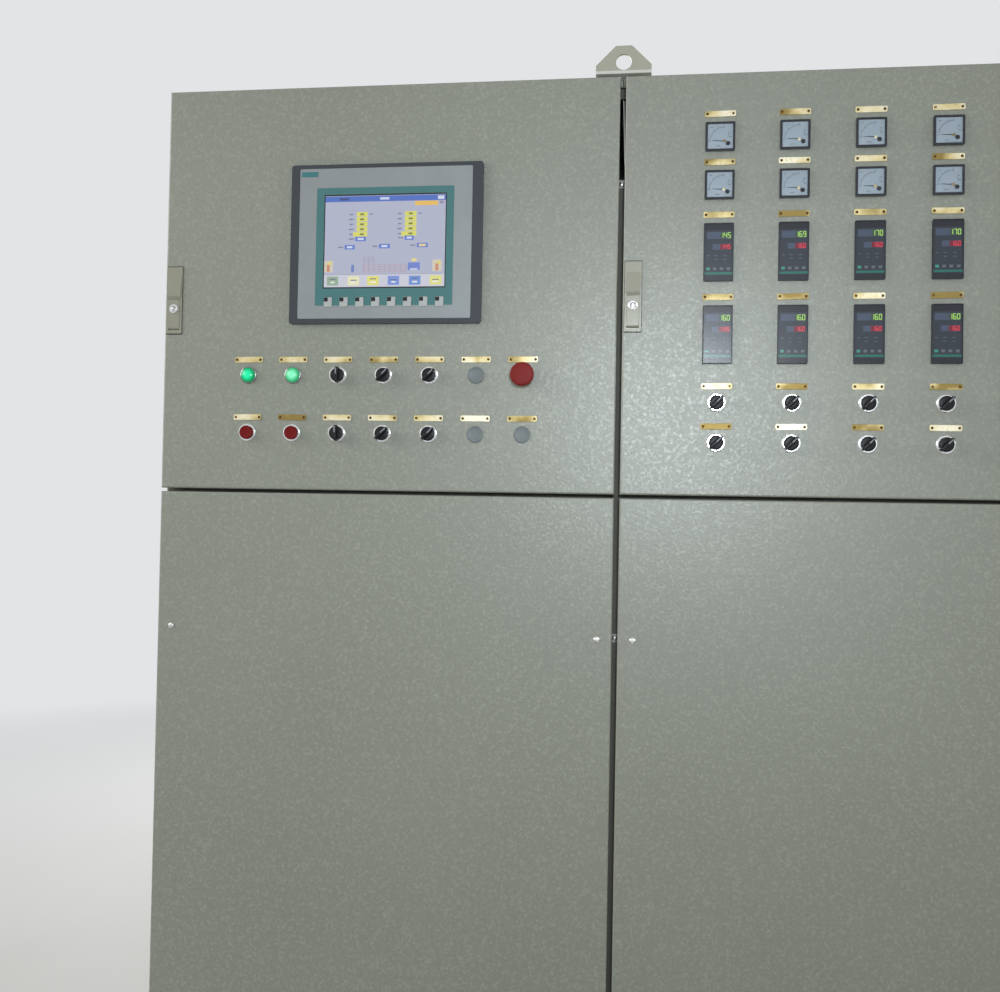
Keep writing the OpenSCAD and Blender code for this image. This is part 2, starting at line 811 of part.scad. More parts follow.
// The red mushroom: a domed head, a waist and a stem in the ring's bore
module emergency_stop() {
    head_r = mushroom_dia / 2;
    head_h = 13;
    waist_h = mushroom_travel + 3;
    p = left_of(STOP)[0];
    color([0.52, 0.22, 0.20]) on_door(left_x)
        translate([p[0], -ring_proud - waist_h - head_h, p[1]]) along_y() {
            intersection() {
                cylinder(r = head_r, h = head_h);
                translate([0, 0, 3 * head_r]) sphere(r = 3 * head_r, $fn = 96);
            }
            cylinder(d = ring_dia - 9, h = head_h + waist_h - mushroom_travel - seat_gap);
            cylinder(d = stub_dia, h = head_h + waist_h + ring_proud);
        }
}

// Domed lens with its neck and back
module indicator_lamps() {
    color([0.20, 0.85, 0.60]) on_door(left_x) for (p = left_of(LAMP)) translate([p[0], 0, p[1]]) {
        along_y() translate([0, 0, -9]) intersection() {
            cylinder(d = lens_dia, h = 9);
            translate([0, 0, lens_dia]) sphere(r = lens_dia);
        }
        device_back(hole_dia - 2 * set_gap);
    }
}

module blanking_plugs() {
    color([0.48, 0.51, 0.52]) on_door(left_x) for (p = left_of(PLUG)) translate([p[0], 0, p[1]])
        along_y() {
            translate([0, 0, -2.5]) cylinder(d1 = plug_dia - 2, d2 = plug_dia, h = 1);
            translate([0, 0, -1.5]) cylinder(d = plug_dia, h = 1.5);
            cylinder(d = hole_dia - 2 * set_gap, h = door_t + nut_t);
            translate([0, 0, door_t]) cylinder(d = nut_dia, h = nut_t);
        }
}

// A framed device set in the door: bezel with a recessed face, case behind
module framed_device(w, h, rim, depth) {
    difference() {
        rounded_plate(w, h, -bezel_proud, bezel_proud, 1.5);
        rounded_plate(w - 2 * rim, h - 2 * rim, -bezel_proud - 1, 2.2, 1);
    }
    box([-w / 2 + bezel_overlap + set_gap, 0, -h / 2 + bezel_overlap + set_gap],
        [w / 2 - bezel_overlap - set_gap, depth, h / 2 - bezel_overlap - set_gap]);
}

module panel_meters() {
    color([0.12, 0.13, 0.15]) on_door(right_x) for (c = [0 : right_cols - 1], z = meter_zs)
        translate([right_col(c), 0, z]) framed_device(meter_w, meter_w, meter_rim, meter_d);
}

module temperature_controllers() {
    color([0.25, 0.28, 0.31]) on_door(right_x) for (c = [0 : right_cols - 1], z = controller_zs)
        translate([right_col(c), 0, z])
            framed_device(controller_w, controller_h, 1.4, controller_d);
}

// The roll-formed post's section, a hollow square with a step in its inner corner
module post_section() {
    difference() {
        difference() {
            square(profile_w);
            translate([-1, profile_w - profile_step]) square(profile_step + 1);
        }
        difference() {
            translate([profile_t, profile_t]) square(profile_w - 2 * profile_t);
            translate([0, profile_w - profile_step - profile_t]) square(profile_step + profile_t);
        }
    }
}

// Four posts of a bay. The front ones carry a sealing lip.
module bay_posts() {
    h = frame_top - plinth_h;
    lip_x = door_w / 2 - seal_line;
    for (s = [-1, 1]) scale([s, 1, 1]) {
        translate([rail_x, frame_y0, plinth_h]) linear_extrude(h) post_section();
        translate([rail_x, frame_y1, plinth_h]) scale([1, -1, 1]) linear_extrude(h) post_section();
        for (z = [[cover_top - cover_h, cover_top], [door_top - door_h, door_top]])
            box([lip_x - lip_t / 2, lip_y0, z[0] + seal_line],
                [lip_x + lip_t / 2, frame_y0, z[1] - seal_line]);
    }
}

module frame_posts() {
    color("lightgrey") on_both_bays() bay_posts();
}

// A front rail between the posts, and its lip at height lip_z
module front_rail(z0, z1, lip_zs) {
    tube([-rail_x, frame_y0, z0], [rail_x, frame_y0 + profile_w, z1], 0, profile_t);
    for (z = lip_zs) box([-rail_x, lip_y0, z - lip_t / 2], [rail_x, frame_y0, z + lip_t / 2]);
}

module bay_rails() {
    y0 = frame_y0 + profile_w;
    y1 = frame_y1 - profile_w;
    low = plinth_h;
    top = frame_top - profile_w;
    front_rail(low, low + profile_w, [cover_top - cover_h + seal_line]);
    front_rail(top, frame_top, [door_top - seal_line]);
    front_rail(split_z - split_rail_h / 2, split_z + split_rail_h / 2,
               [door_top - door_h + seal_line, cover_top - seal_line]);
    for (z = [low, top]) {
        tube([-rail_x, frame_y1 - profile_w, z], [rail_x, frame_y1, z + profile_w], 0, profile_t);
        for (s = [-1, 1]) {
            xs = s * (rail_x + profile_w / 2);
            tube([xs - profile_w / 2, y0, z], [xs + profile_w / 2, y1, z + profile_w], 1, profile_t);
        }
    }
}

module frame_rails() {
    color("lightgrey") on_both_bays() bay_rails();
}

module roof_panels() {
    w = bay_w - panel_inset;
    color([0.55, 0.57, 0.52]) on_both_bays() difference() {
        box([-w / 2, frame_y0 - panel_t, roof_z - roof_rim], [w / 2, rear_y, roof_z]);
        box([-w / 2 + panel_t, frame_y0, roof_z - roof_rim - 1],
            [w / 2 - panel_t, rear_y - panel_t, roof_z - panel_t]);
    }
}

// Gland plates lying on the side rails, edge to edge with a small gap
module floor_plates() {
    y0 = frame_y0 + profile_w + 2;
    y1 = frame_y1 - profile_w - 2;
    pitch = (y1 - y0) / gland_count;
    z0 = plinth_h + profile_w;
    x1 = rail_x + profile_w / 2;
    color("lightgrey") on_both_bays() for (i = [0 : gland_count - 1])
        box([-x1, y0 + i * pitch, z0], [x1, y0 + (i + 1) * pitch - 2, z0 + panel_t]);
}

module side_panels() {
    h = panel_top - plinth_h;
    color([0.55, 0.57, 0.52]) for (s = [-1, 1])
        translate([s * bay_w, frame_y0 + side_l / 2, plinth_h]) rotate([0, 0, s * 90])
            folded_panel(side_l - panel_inset, h, panel_stand, panel_t, return_w);
}

module back_panels() {
    h = panel_top - plinth_h;
    color([0.55, 0.57, 0.52]) on_both_bays() translate([0, rear_y, plinth_h]) rotate([0, 0, 180])
        folded_panel(bay_w - 2 * panel_inset, h, panel_stand, panel_t, return_w);
}

// A mounting plate in front of the rear posts, on spacers
module mounting_plates() {
    y1 = frame_y1 - profile_w - mount_gap;
    x1 = rail_x + 16;
    z0 = plinth_h + mount_margin;
    z1 = frame_top - mount_margin;
    color("lightgrey") on_both_bays() {
        box([-x1, y1 - mount_t, z0], [x1, y1, z1]);
        for (s = [-1, 1], f = [0.1, 0.5, 0.9])
            translate([s * (rail_x + 8), y1, z0 + f * (z1 - z0)])
                along_y() cylinder(d = 12, h = mount_gap);
    }
}

// Blocks bolted between the posts of the two bays
module bay_couplings() {
    w = panel_stand;
    color("silver") for (drop = coupling_drops, y = [frame_y0, frame_y1 - coupling_d])
        box([-w, y, door_top - drop - coupling_h / 2], [w, y + coupling_d, door_top - drop + coupling_h / 2]);
}

// Foam strip in the joint between the bays, broken at the upper hinge and at the couplings
module bay_seal() {
    w = panel_stand;
    d = 8;
    tops = concat([-split_rail_h / 2 + 16], [for (c = coupling_drops) -c - coupling_h / 2]);
    ends = concat([for (c = coupling_drops) -c + coupling_h / 2], [plinth_h - door_top]);
    color([0.30, 0.28, 0.25]) for (i = [1 : len(tops) - 1])
        box([-w, frame_y0, door_top + ends[i]], [w, frame_y0 + d, door_top + tops[i]]);
    color([0.30, 0.28, 0.25])
        box([-w, frame_y0, door_top + tops[0]], [w, frame_y0 + d, panel_top]);
}

// A lifting lug: an upright with bevelled shoulders and an eye, on a foot across the bay joint
module lifting_lug() {
    points = [
        [-lug_w / 2, 0], [-lug_w / 2, lug_side], [-lug_w / 2 + lug_h - lug_side, lug_h],
        [lug_w / 2 - lug_h + lug_side, lug_h], [lug_w / 2, lug_side], [lug_w / 2, 0]
    ];
    difference() {
        rotate([90, 0, 0]) translate([0, 0, -lug_t]) linear_extrude(lug_t) polygon(points);
        translate([0, -1, eye_z]) along_y() cylinder(d = eye_dia, h = lug_t + 2);
    }
    box([-lug_w / 2, 0, 0], [lug_w / 2, lug_foot, lug_t]);
}

module lifting_lugs() {
    color([0.75, 0.74, 0.68]) {
        translate([0, front_y + lug_set, roof_z]) lifting_lug();
        translate([0, rear_y - lug_t, roof_z]) scale([1, -1, 1]) lifting_lug();
    }
}

// One pressed corner of the plinth: two walls, a foot with the anchor hole, a top flange
module plinth_corner() {
    l = corner_l;
    t = corner_t;
    difference() {
        box([0, 0, 0], [l, l, plinth_h]);
        box([t, t, t], [l + 1, l + 1, plinth_h - t]);
        translate([anchor_in, anchor_in, -1]) cylinder(d = anchor_dia, h = t + 2);
    }
}

module plinth_corners() {
    x1 = bay_w - panel_inset;
    color([0.20, 0.20, 0.20]) {
        for (sx = [-1, 1]) scale([sx, 1, 1]) {
            translate([x1, plinth_y0, 0]) scale([-1, 1, 1]) plinth_corner();
            translate([x1, plinth_y1, 0]) scale([-1, -1, 1]) plinth_corner();
        }
        for (y = [plinth_y0, plinth_y1 - corner_l / 2])
            tube([-corner_l, y, 0], [corner_l, y + corner_l / 2, plinth_h], 0, corner_t);
    }
}

module plinth_panels() {
    t = panel_t;
    x0 = corner_l;
    x1 = bay_w - panel_inset - corner_l;
    color([0.20, 0.20, 0.20]) for (s = [-1, 1]) scale([s, 1, 1]) {
        box([x0, plinth_y0, 0], [x1, plinth_y0 + t, plinth_h]);
        box([x0, plinth_y1 - t, 0], [x1, plinth_y1, plinth_h]);
        box([bay_w - panel_inset - t, plinth_y0 + corner_l, 0],
            [bay_w - panel_inset, plinth_y1 - corner_l, plinth_h]);
    }
}

plinth_corners();
plinth_panels();
frame_posts();
frame_rails();
roof_panels();
floor_plates();
side_panels();
back_panels();
mounting_plates();
left_lower_cover();
right_lower_cover();
lifting_lugs();
bay_couplings();
bay_seal();
hinge_brackets();
left_upper_door();
left_door_bars();
left_door_seal();
left_door_hinges();
left_lock_body();
left_latch_rod();
left_name_plates();
operator_panel_case();
operator_panel_plate();
operator_panel_screen();
operator_panel_keys();
indicator_lamps();
blanking_plugs();
left_switch_bases();
right_upper_door();
right_door_bars();
right_door_seal();
right_door_hinges();
right_lock_body();
right_latch_rod();
right_name_plates();
panel_meters();
temperature_controllers();
right_switch_bases();
left_lock_lever();
right_lock_lever();
emergency_stop();
push_button_1();
push_button_2();
for (i = [0 : len(left_selectors) - 1])
    selector_knob(left_x, left_selectors[i]);
for (i = [0 : len(right_selectors) - 1])
    selector_knob(right_x, right_selectors[i]);
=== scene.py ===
"""Dresses the two-bay control cabinet and sets it in a plain studio.

Lengths in the classes are millimetres. The bench turns them into metres, in the frame of the
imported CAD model: X to the right, Y to the rear, Z up, with the origin on the floor.
"""

from __future__ import annotations

import logging
import math
import random
from collections.abc import Callable, Iterable, Sequence
from dataclasses import dataclass, field
from enum import Enum
from functools import cached_property

import bpy
from bpy.types import Material, Node, NodeSocket, NodeTree, Object
from mathutils import Matrix, Vector

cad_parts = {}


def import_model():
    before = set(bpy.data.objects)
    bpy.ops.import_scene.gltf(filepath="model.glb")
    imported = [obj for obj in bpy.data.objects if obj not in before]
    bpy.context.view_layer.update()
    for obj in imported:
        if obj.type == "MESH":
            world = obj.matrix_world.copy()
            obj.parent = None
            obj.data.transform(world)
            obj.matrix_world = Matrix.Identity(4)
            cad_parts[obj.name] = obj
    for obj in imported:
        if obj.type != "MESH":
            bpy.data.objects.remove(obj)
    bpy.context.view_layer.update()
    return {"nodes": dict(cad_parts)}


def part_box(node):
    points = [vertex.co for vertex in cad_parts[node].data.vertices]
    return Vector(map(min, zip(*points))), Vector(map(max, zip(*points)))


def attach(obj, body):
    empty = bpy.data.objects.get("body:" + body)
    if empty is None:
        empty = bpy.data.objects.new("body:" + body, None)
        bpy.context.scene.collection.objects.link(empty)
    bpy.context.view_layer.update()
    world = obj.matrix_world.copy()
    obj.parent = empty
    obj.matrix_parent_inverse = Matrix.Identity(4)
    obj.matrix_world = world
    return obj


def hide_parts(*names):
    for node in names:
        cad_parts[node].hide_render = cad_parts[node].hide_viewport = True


log = logging.getLogger("cabinet")

Point = tuple[float, float, float]
Colour = tuple[float, float, float]

MM = 0.001
FRONT_Y = -300.0
DOOR_TOP = 2092.0
DOOR_W = 791.0
LEFT_X = -400.0
RIGHT_X = 400.0
COVER_TOP = 1386.0
COVER_BOTTOM = 106.0
ROOF_Z = 2100.0
COLOUR_LAYER = "print_colour"

# A direction lies along an axis when this much of it, of 1, does.
ALONG = 0.9
# Edges are sharp from this angle on, in degrees.
SHARP = 35.0
# Points closer than this become one, in metres.
WELD = 1e-6


def linear(red: int, green: int, blue: int) -> Colour:
    """Turns an 8-bit screen colour into scene-linear values.

    Args:
        red: Red, 0 to 255.
        green: Green, 0 to 255.
        blue: Blue, 0 to 255.

    Returns:
        The three linear values.
    """
    shares = (red / 255, green / 255, blue / 255)
    return tuple(s / 12.92 if s <= 0.04045 else ((s + 0.055) / 1.055) ** 2.4 for s in shares)


def shaded(tone: Colour, factor: float) -> Colour:
    """Makes a colour lighter or darker by a factor, up to full brightness."""
    return tuple(min(1.0, v * factor) for v in tone)


def metres(point: Iterable[float]) -> Vector:
    """Turns millimetres into a vector in metres."""
    return Vector([v * MM for v in point])


def facing(x: float, z: float, y: float = FRONT_Y, turn: float = 0.0, way: float = 0.0) -> Matrix:
    """Places a face-on piece, made with X right, Y up and Z outwards, on an upright face.

    Args:
        x: Place to the right, in millimetres.
        z: Height over the floor, in millimetres.
        y: Depth of the surface that carries it, in millimetres.
        turn: Turn clockwise as seen from outside, in degrees.
        way: Turn of the face about Z, in degrees: 0 faces the front, 180 the rear.

    Returns:
        The matrix of the place.
    """
    aside = Matrix.Rotation(math.radians(way), 4, "Z")
    upright = Matrix.Rotation(math.radians(90), 4, "X")
    spun = Matrix.Rotation(math.radians(-turn), 4, "Z")
    return Matrix.Translation(metres((x, y, z))) @ aside @ upright @ spun


def upright(_: Vector, way: Vector) -> bool:
    """Whether an edge stands along Z."""
    return abs(way.z) > ALONG


def on_top(_: Vector, normal: Vector) -> bool:
    """Whether a face looks up along Z."""
    return normal.z > ALONG


class Bench:
    """The modelling bench: Blender's own operators, each used on one piece at a time."""

    def clear(self) -> None:
        """Goes back to object mode with nothing selected."""
        if bpy.context.object and bpy.context.object.mode != "OBJECT":
            bpy.ops.object.mode_set(mode="OBJECT")
        bpy.ops.object.select_all(action="DESELECT")

    def take(self, piece: Object) -> None:
        """Makes one piece the only selected and the active object."""
        self.clear()
        piece.select_set(True)
        bpy.context.view_layer.objects.active = piece

    def settle(self, piece: Object) -> Object:
        """Puts a piece's place, turn and scale into its mesh."""
        self.take(piece)
        bpy.ops.object.transform_apply(location=True, rotation=True, scale=True)
        return piece

    def place(self, piece: Object, seat: Matrix) -> Object:
        """Moves a piece by a matrix and puts the move into its mesh."""
        piece.matrix_world = seat
        return self.settle(piece)

    def pick_faces(self, piece: Object, test: Callable[[Vector, Vector], bool]) -> None:
        """Enters edit mode with the faces selected whose middle and normal pass a test.

        Args:
            piece: The piece to edit.
            test: Takes a face's middle in millimetres and its normal.
        """
        self.take(piece)
        mesh = piece.data
        mesh.vertices.foreach_set("select", [False] * len(mesh.vertices))
        mesh.edges.foreach_set("select", [False] * len(mesh.edges))
        chosen = [bool(test(p.center / MM, p.normal)) for p in mesh.polygons]
        mesh.polygons.foreach_set("select", chosen)
        bpy.context.tool_settings.mesh_select_mode = (False, False, True)
        bpy.ops.object.mode_set(mode="EDIT")

    def pick_edges(self, piece: Object, test: Callable[[Vector, Vector], bool]) -> None:
        """Enters edit mode with the edges selected whose middle and direction pass a test.

        Args:
            piece: The piece to edit.
            test: Takes an edge's middle in millimetres and its unit direction.
        """
        self.take(piece)
        mesh = piece.data
        mesh.vertices.foreach_set("select", [False] * len(mesh.vertices))
        mesh.polygons.foreach_set("select", [False] * len(mesh.polygons))
        chosen = []
        for edge in mesh.edges:
            a, b = (mesh.vertices[i].co for i in edge.vertices)
            chosen.append(bool(test((a + b) / 2 / MM, (b - a).normalized())))
        mesh.edges.foreach_set("select", chosen)
        bpy.context.tool_settings.mesh_select_mode = (False, True, False)
        bpy.ops.object.mode_set(mode="EDIT")

    def block(self, name: str, low: Point, high: Point) -> Object:
        """Adds a box between two corners.

        Args:
            name: The piece's name.
            low: Its lowest corner, in millimetres.
            high: Its highest corner, in millimetres.

        Returns:
            The new piece.
        """
        self.clear()
        a, b = metres(low), metres(high)
        bpy.ops.mesh.primitive_cube_add(size=1.0, location=(a + b) / 2, scale=b - a)
        bpy.context.object.name = name
        return self.settle(bpy.context.object)

    def slab(self, name: str, width: float, height: float, low: float, high: float) -> Object:
        """Adds a box round the Z axis, from one height to another, in millimetres."""
        return self.block(name, (-width / 2, -height / 2, low), (width / 2, height / 2, high))

    def turned(
        self, name: str, profile: Sequence[tuple[float, float]], sides: int = 32, ring: bool = False
    ) -> Object:
        """Turns a piece about Z by extruding a circle from step to step.

        Args:
            name: The piece's name.
            profile: Its steps, as (radius, height) in millimetres.
            sides: Number of faces round it.
            ring: True for a ring, whose last step is its first one again.

        Returns:
            The new piece.
        """
        self.clear()
        radius, height = profile[0]
        bpy.ops.mesh.primitive_circle_add(
            vertices=sides,
            radius=radius * MM,
            fill_type="NOTHING" if ring else "NGON",
            location=(0, 0, height * MM),
        )
        piece = self.settle(bpy.context.object)
        piece.name = name
        self.pick_edges(piece, lambda middle, way: True)
        for next_radius, next_height in profile[1:]:
            rise = (0, 0, (next_height - height) * MM)
            bpy.ops.mesh.extrude_edges_move(TRANSFORM_OT_translate={"value": rise})
            share = next_radius / radius
            bpy.ops.transform.resize(
                value=(share, share, 1), center_override=(0, 0, next_height * MM)
            )
            radius, height = next_radius, next_height
        if not ring:
            bpy.ops.mesh.edge_face_add()
        bpy.ops.mesh.select_all(action="SELECT")
        bpy.ops.mesh.remove_doubles(threshold=WELD)
        bpy.ops.mesh.normals_make_consistent(inside=False)
        self.clear()
        return piece

    def inset(self, piece: Object, test: Callable, thickness: float, depth: float) -> None:
        """Insets the faces that pass a test and sinks them, both in millimetres."""
        self.pick_faces(piece, test)
        bpy.ops.mesh.inset(thickness=thickness * MM, depth=0.0)
        bpy.ops.mesh.inset(thickness=0.0001 * MM, depth=-depth * MM)
        self.clear()

    def round_edges(
        self, piece: Object, width: float, segments: int = 2, test: Callable | None = None
    ) -> Object:
        """Rounds a piece's sharp edges, or only those that pass a test.

        Args:
            piece: The piece to round.
            width: Width of the rounding, in millimetres.
            segments: Number of faces across it.
            test: Takes an edge's middle and direction, or None for every sharp edge.

        Returns:
            The piece.
        """
        if test is None:
            self.take(piece)
            bevel = piece.modifiers.new("rounding", "BEVEL")
            bevel.width = width * MM
            bevel.segments = segments
            bevel.limit_method = "ANGLE"
            bevel.angle_limit = math.radians(SHARP)
            bevel.harden_normals = False
            bpy.ops.object.modifier_apply(modifier=bevel.name)
        else:
            self.pick_edges(piece, test)
            bpy.ops.mesh.bevel(offset=width * MM, segments=segments, affect="EDGES")
        self.clear()
        return piece

    def combine(self, piece: Object, tool: Object, operation: str) -> Object:
        """Joins a tool's solid to a piece, or cuts it out, and removes the tool.

        Args:
            piece: The piece that stays.
            tool: The solid that is used up.
            operation: UNION or DIFFERENCE.

        Returns:
            The piece.
        """
        self.take(piece)
        step = piece.modifiers.new("solid", "BOOLEAN")
        step.operation = operation
        step.solver = "EXACT"
        step.object = tool
        bpy.ops.object.modifier_apply(modifier=step.name)
        bpy.data.objects.remove(tool)
        return piece

    def smooth(self, piece: Object, angle: float = SHARP) -> Object:
        """Shades a piece smooth up to an angle in degrees."""
        self.take(piece)
        bpy.ops.object.shade_smooth_by_angle(angle=math.radians(angle))
        return piece

    def join(self, name: str, pieces: Sequence[Object]) -> Object:
        """Joins pieces into one with a new name."""
        self.clear()
        for piece in pieces:
            piece.select_set(True)
        bpy.context.view_layer.objects.active = pieces[0]
        if len(pieces) > 1:
            bpy.ops.object.join()
        joined = bpy.context.view_layer.objects.active
        joined.name = name
        return joined

    def copies(
        self,
        name: str,
        template: Object,
        places: Sequence[Matrix],
        colours: Sequence[Colour] | None = None,
        keep: bool = False,
    ) -> Object:
        """Copies a template to many places and joins the copies.

        Args:
            name: Name of the joined piece.
            template: The piece to copy, made at the origin.
            places: One matrix for each copy.
            colours: One colour for each copy, kept in the mesh, or None.
            keep: True to keep the template for later.

        Returns:
            The joined piece.
        """
        made = []
        for index, place in enumerate(places):
            copy = template.copy()
            copy.data = template.data.copy()
            copy.matrix_world = place
            bpy.context.scene.collection.objects.link(copy)
            if colours is not None:
                self.tint(copy, colours[index])
            made.append(copy)
        self.clear()
        for copy in made:
            copy.select_set(True)
        bpy.context.view_layer.objects.active = made[0]
        bpy.ops.object.transform_apply(location=True, rotation=True, scale=True)
        if not keep:
            bpy.data.objects.remove(template)
        return self.join(name, made)

    def tint(self, piece: Object, colour: Colour) -> None:
        """Stores one colour on every point of a piece."""
        layer = piece.data.color_attributes.new(COLOUR_LAYER, "FLOAT_COLOR", "POINT")
        layer.data.foreach_set("color", [*colour, 1.0] * len(piece.data.vertices))


BENCH = Bench()


class Graph:
    """A node tree with short ways to add nodes and to join them."""

    def __init__(self, tree: NodeTree) -> None:
        self.tree = tree

    def set(self, socket: NodeSocket, value: NodeSocket | float | Sequence[float]) -> None:
        """Joins an input to another node's output, or gives it a plain value.

        Args:
            socket: The input.
            value: An output, a number, a vector, or a colour without its alpha.
        """
        if isinstance(value, NodeSocket):
            self.tree.links.new(value, socket)
        elif socket.type == "RGBA":
            socket.default_value = (*value, 1.0)
        else:
            socket.default_value = value

    def add(self, kind: str, values: dict[str, object] | None = None) -> Node:
        """Adds a node and sets its inputs.

        Args:
            kind: Type of the node.
            values: Outputs or plain values for its inputs, by the inputs' names.

        Returns:
            The new node.
        """
        node = self.tree.nodes.new(kind)
        for name, value in (values or {}).items():
            self.set(node.inputs[name], value)
        return node

    def maths(self, operation: str, first: NodeSocket, second: NodeSocket | float) -> NodeSocket:
        """Works out one operation on two values."""
        node = self.add("ShaderNodeMath")
        node.operation = operation
        self.set(node.inputs[0], first)
        self.set(node.inputs[1], second)
        return node.outputs[0]

    def times(self, value: NodeSocket, factor: NodeSocket | float) -> NodeSocket:
        """Multiplies a value by another or by a number."""
        return self.maths("MULTIPLY", value, factor)

    def length(self, vector: NodeSocket) -> NodeSocket:
        """The length of a vector."""
        node = self.add("ShaderNodeVectorMath", {"Vector": vector})
        node.operation = "LENGTH"
        return node.outputs["Value"]

    def spread(
        self, value: NodeSocket, low: float, high: float, start: float = 0.0, stop: float = 1.0
    ) -> NodeSocket:
        """Maps a value from one range to another.

        Args:
            value: The socket to map.
            low: The value put out at start.
            high: The value put out at stop.
            start: Lower end of the range that comes in.
            stop: Upper end of the range that comes in.

        Returns:
            The mapped socket.
        """
        ranges = {"From Min": start, "From Max": stop, "To Min": low, "To Max": high}
        return self.add("ShaderNodeMapRange", {"Value": value, **ranges}).outputs["Result"]

    def noise(self, values: dict[str, object]) -> NodeSocket:
        """Adds a noise and puts out its height."""
        return self.add("ShaderNodeTexNoise", values).outputs["Fac"]

    def mix_shaders(self, share: NodeSocket, first: NodeSocket, second: NodeSocket) -> NodeSocket:
        """Mixes two shaders by the share of the second."""
        node = self.add("ShaderNodeMixShader")
        for socket, value in zip(node.inputs, (share, first, second)):
            self.set(socket, value)
        return node.outputs[0]


class Group(Graph):
    """A node group in the making, with a vector and one value as its inputs."""

    def __init__(self, name: str, value: str, standard: float) -> None:
        """Starts the group.

        Args:
            name: Name of the group.
            value: Name of its value input.
            standard: That input's standard value.
        """
        super().__init__(bpy.data.node_groups.new(name, "ShaderNodeTree"))
        new_socket = self.tree.interface.new_socket
        new_socket("Vector", in_out="INPUT", socket_type="NodeSocketVector")
        new_socket(value, in_out="INPUT", socket_type="NodeSocketFloat").default_value = standard
        start = self.add("NodeGroupInput")
        self.vector, self.value = start.outputs["Vector"], start.outputs[value]

    def finish(self, outputs: dict[str, NodeSocket]) -> NodeTree:
        """Adds the group's outputs and returns its tree."""
        for name in outputs:
            self.tree.interface.new_socket(name, in_out="OUTPUT", socket_type="NodeSocketFloat")
        self.add("NodeGroupOutput", outputs)
        return self.tree


class Effects:
    """The surface effects that several materials share, each a node group made at its first use."""

    @cached_property
    def peel(self) -> NodeTree:
        """The fine skin of a powder coat: a height, and a mask of the flecks that are given painted glints.
        """
        group = Group("peel", "Scale", 300.0)
        place = {"Vector": group.vector, "Scale": group.value}
        grain = group.noise({**place, "Detail": 3.0, "Roughness": 0.6})
        cells = group.add("ShaderNodeTexVoronoi", place).outputs["Distance"]
        height = group.maths("SUBTRACT", grain, group.times(cells, cells))
        return group.finish({"Height": height, "GlintSpecks": group.spread(grain, 0.0, 1.0, 0.5, 0.72)})

    @cached_property
    def mottle(self) -> NodeTree:
        """Slow changes of tone over a surface, from handling and age."""
        group = Group("mottle", "Scale", 3.0)
        slow = group.noise({"Vector": group.vector, "Scale": group.value, "Detail": 4.0})
        finer = {"Vector": group.vector, "Scale": group.times(group.value, 5.0)}
        spots = group.noise({**finer, "Detail": 5.0, "Distortion": 0.8})
        return group.finish({"Tone": slow, "Stain": group.spread(spots, 0.0, 1.0, 0.58, 0.75)})

    @cached_property
    def worn_edges(self) -> NodeTree:
        """A mask of edges and corners that handling has rubbed."""
        group = Group("worn_edges", "Radius", 0.001)
        rounded = group.add("ShaderNodeBevel", {"Radius": group.value})
        rounded.samples = 4
        match = group.add("ShaderNodeVectorMath")
        match.operation = "DOT_PRODUCT"
        group.set(match.inputs[0], rounded.outputs["Normal"])
        group.set(match.inputs[1], group.add("ShaderNodeNewGeometry").outputs["Normal"])
        edge = group.spread(match.outputs["Value"], 0.0, 1.0, 0.99, 0.80)
        breaks = group.noise({"Vector": group.vector, "Scale": 160.0, "Detail": 4.0})
        patchy = group.spread(breaks, 0.0, 1.0, 0.45, 0.6)
        return group.finish({"Mask": group.times(edge, patchy)})

    @cached_property
    def brushed(self) -> NodeTree:
        """Fine lines drawn along one axis, as on ground or rolled metal."""
        group = Group("brushed", "Scale", 900.0)
        lines = group.noise({"Vector": group.vector, "Scale": group.value, "Detail": 2.0})
        return group.finish({"Line": lines})


EFFECTS = Effects()


class Sheet(Graph):
    """A material's node tree round its one surface shader."""

    def __init__(self, name: str) -> None:
        self.material = bpy.data.materials.new(name)
        self.material.use_nodes = True
        super().__init__(self.material.node_tree)
        self.tree.nodes.clear()
        self.shader = self.add("ShaderNodeBsdfPrincipled")
        self.end = self.add("ShaderNodeOutputMaterial", {"Surface": self.shader.outputs["BSDF"]})
        self.place = self.add("ShaderNodeTexCoord").outputs["Object"]

    def effect(self, tree: NodeTree, vector: NodeSocket | None = None, **values: float) -> Node:
        """Places a shared effect and sets its values.

        Args:
            tree: The effect's node group.
            vector: Where it reads its place from, or None for Object coordinates.
            **values: Values of its named inputs.

        Returns:
            The group node.
        """
        node = self.add("ShaderNodeGroup")
        node.node_tree = tree
        self.set(node.inputs["Vector"], vector or self.place)
        for name, value in values.items():
            self.set(node.inputs[name], value)
        return node

    def stretched(self, scale: Point) -> NodeSocket:
        """Object coordinates stretched by a scale for each axis."""
        return self.add("ShaderNodeMapping", {"Scale": scale, "Vector": self.place}).outputs["Vector"]

    def along(self, axis: str) -> NodeSocket:
        """The place along one axis."""
        return self.add("ShaderNodeSeparateXYZ", {"Vector": self.place}).outputs[axis]

    def blend(self, share: NodeSocket, first: object, second: object) -> NodeSocket:
        """Mixes two colours, each a socket or a plain colour.

        Args:
            share: Share of the second colour.
            first: The first colour.
            second: The second colour.

        Returns:
            The mixed colour's socket.
        """
        node = self.add("ShaderNodeMix")
        node.data_type = "RGBA"
        for index, value in ((0, share), (6, first), (7, second)):
            self.set(node.inputs[index], value)
        return node.outputs[2]

    def bump(self, height: NodeSocket, distance: float) -> NodeSocket:
        """The normal that a height gives, its depth in millimetres."""
        values = {"Distance": distance * MM, "Strength": 1.0, "Height": height}
        return self.add("ShaderNodeBump", values).outputs["Normal"]

    def surface(self, values: dict[str, object]) -> Material:
        """Sets the shader's inputs by name and returns the finished material."""
        for name, value in values.items():
            self.set(self.shader.inputs[name], value)
        return self.material


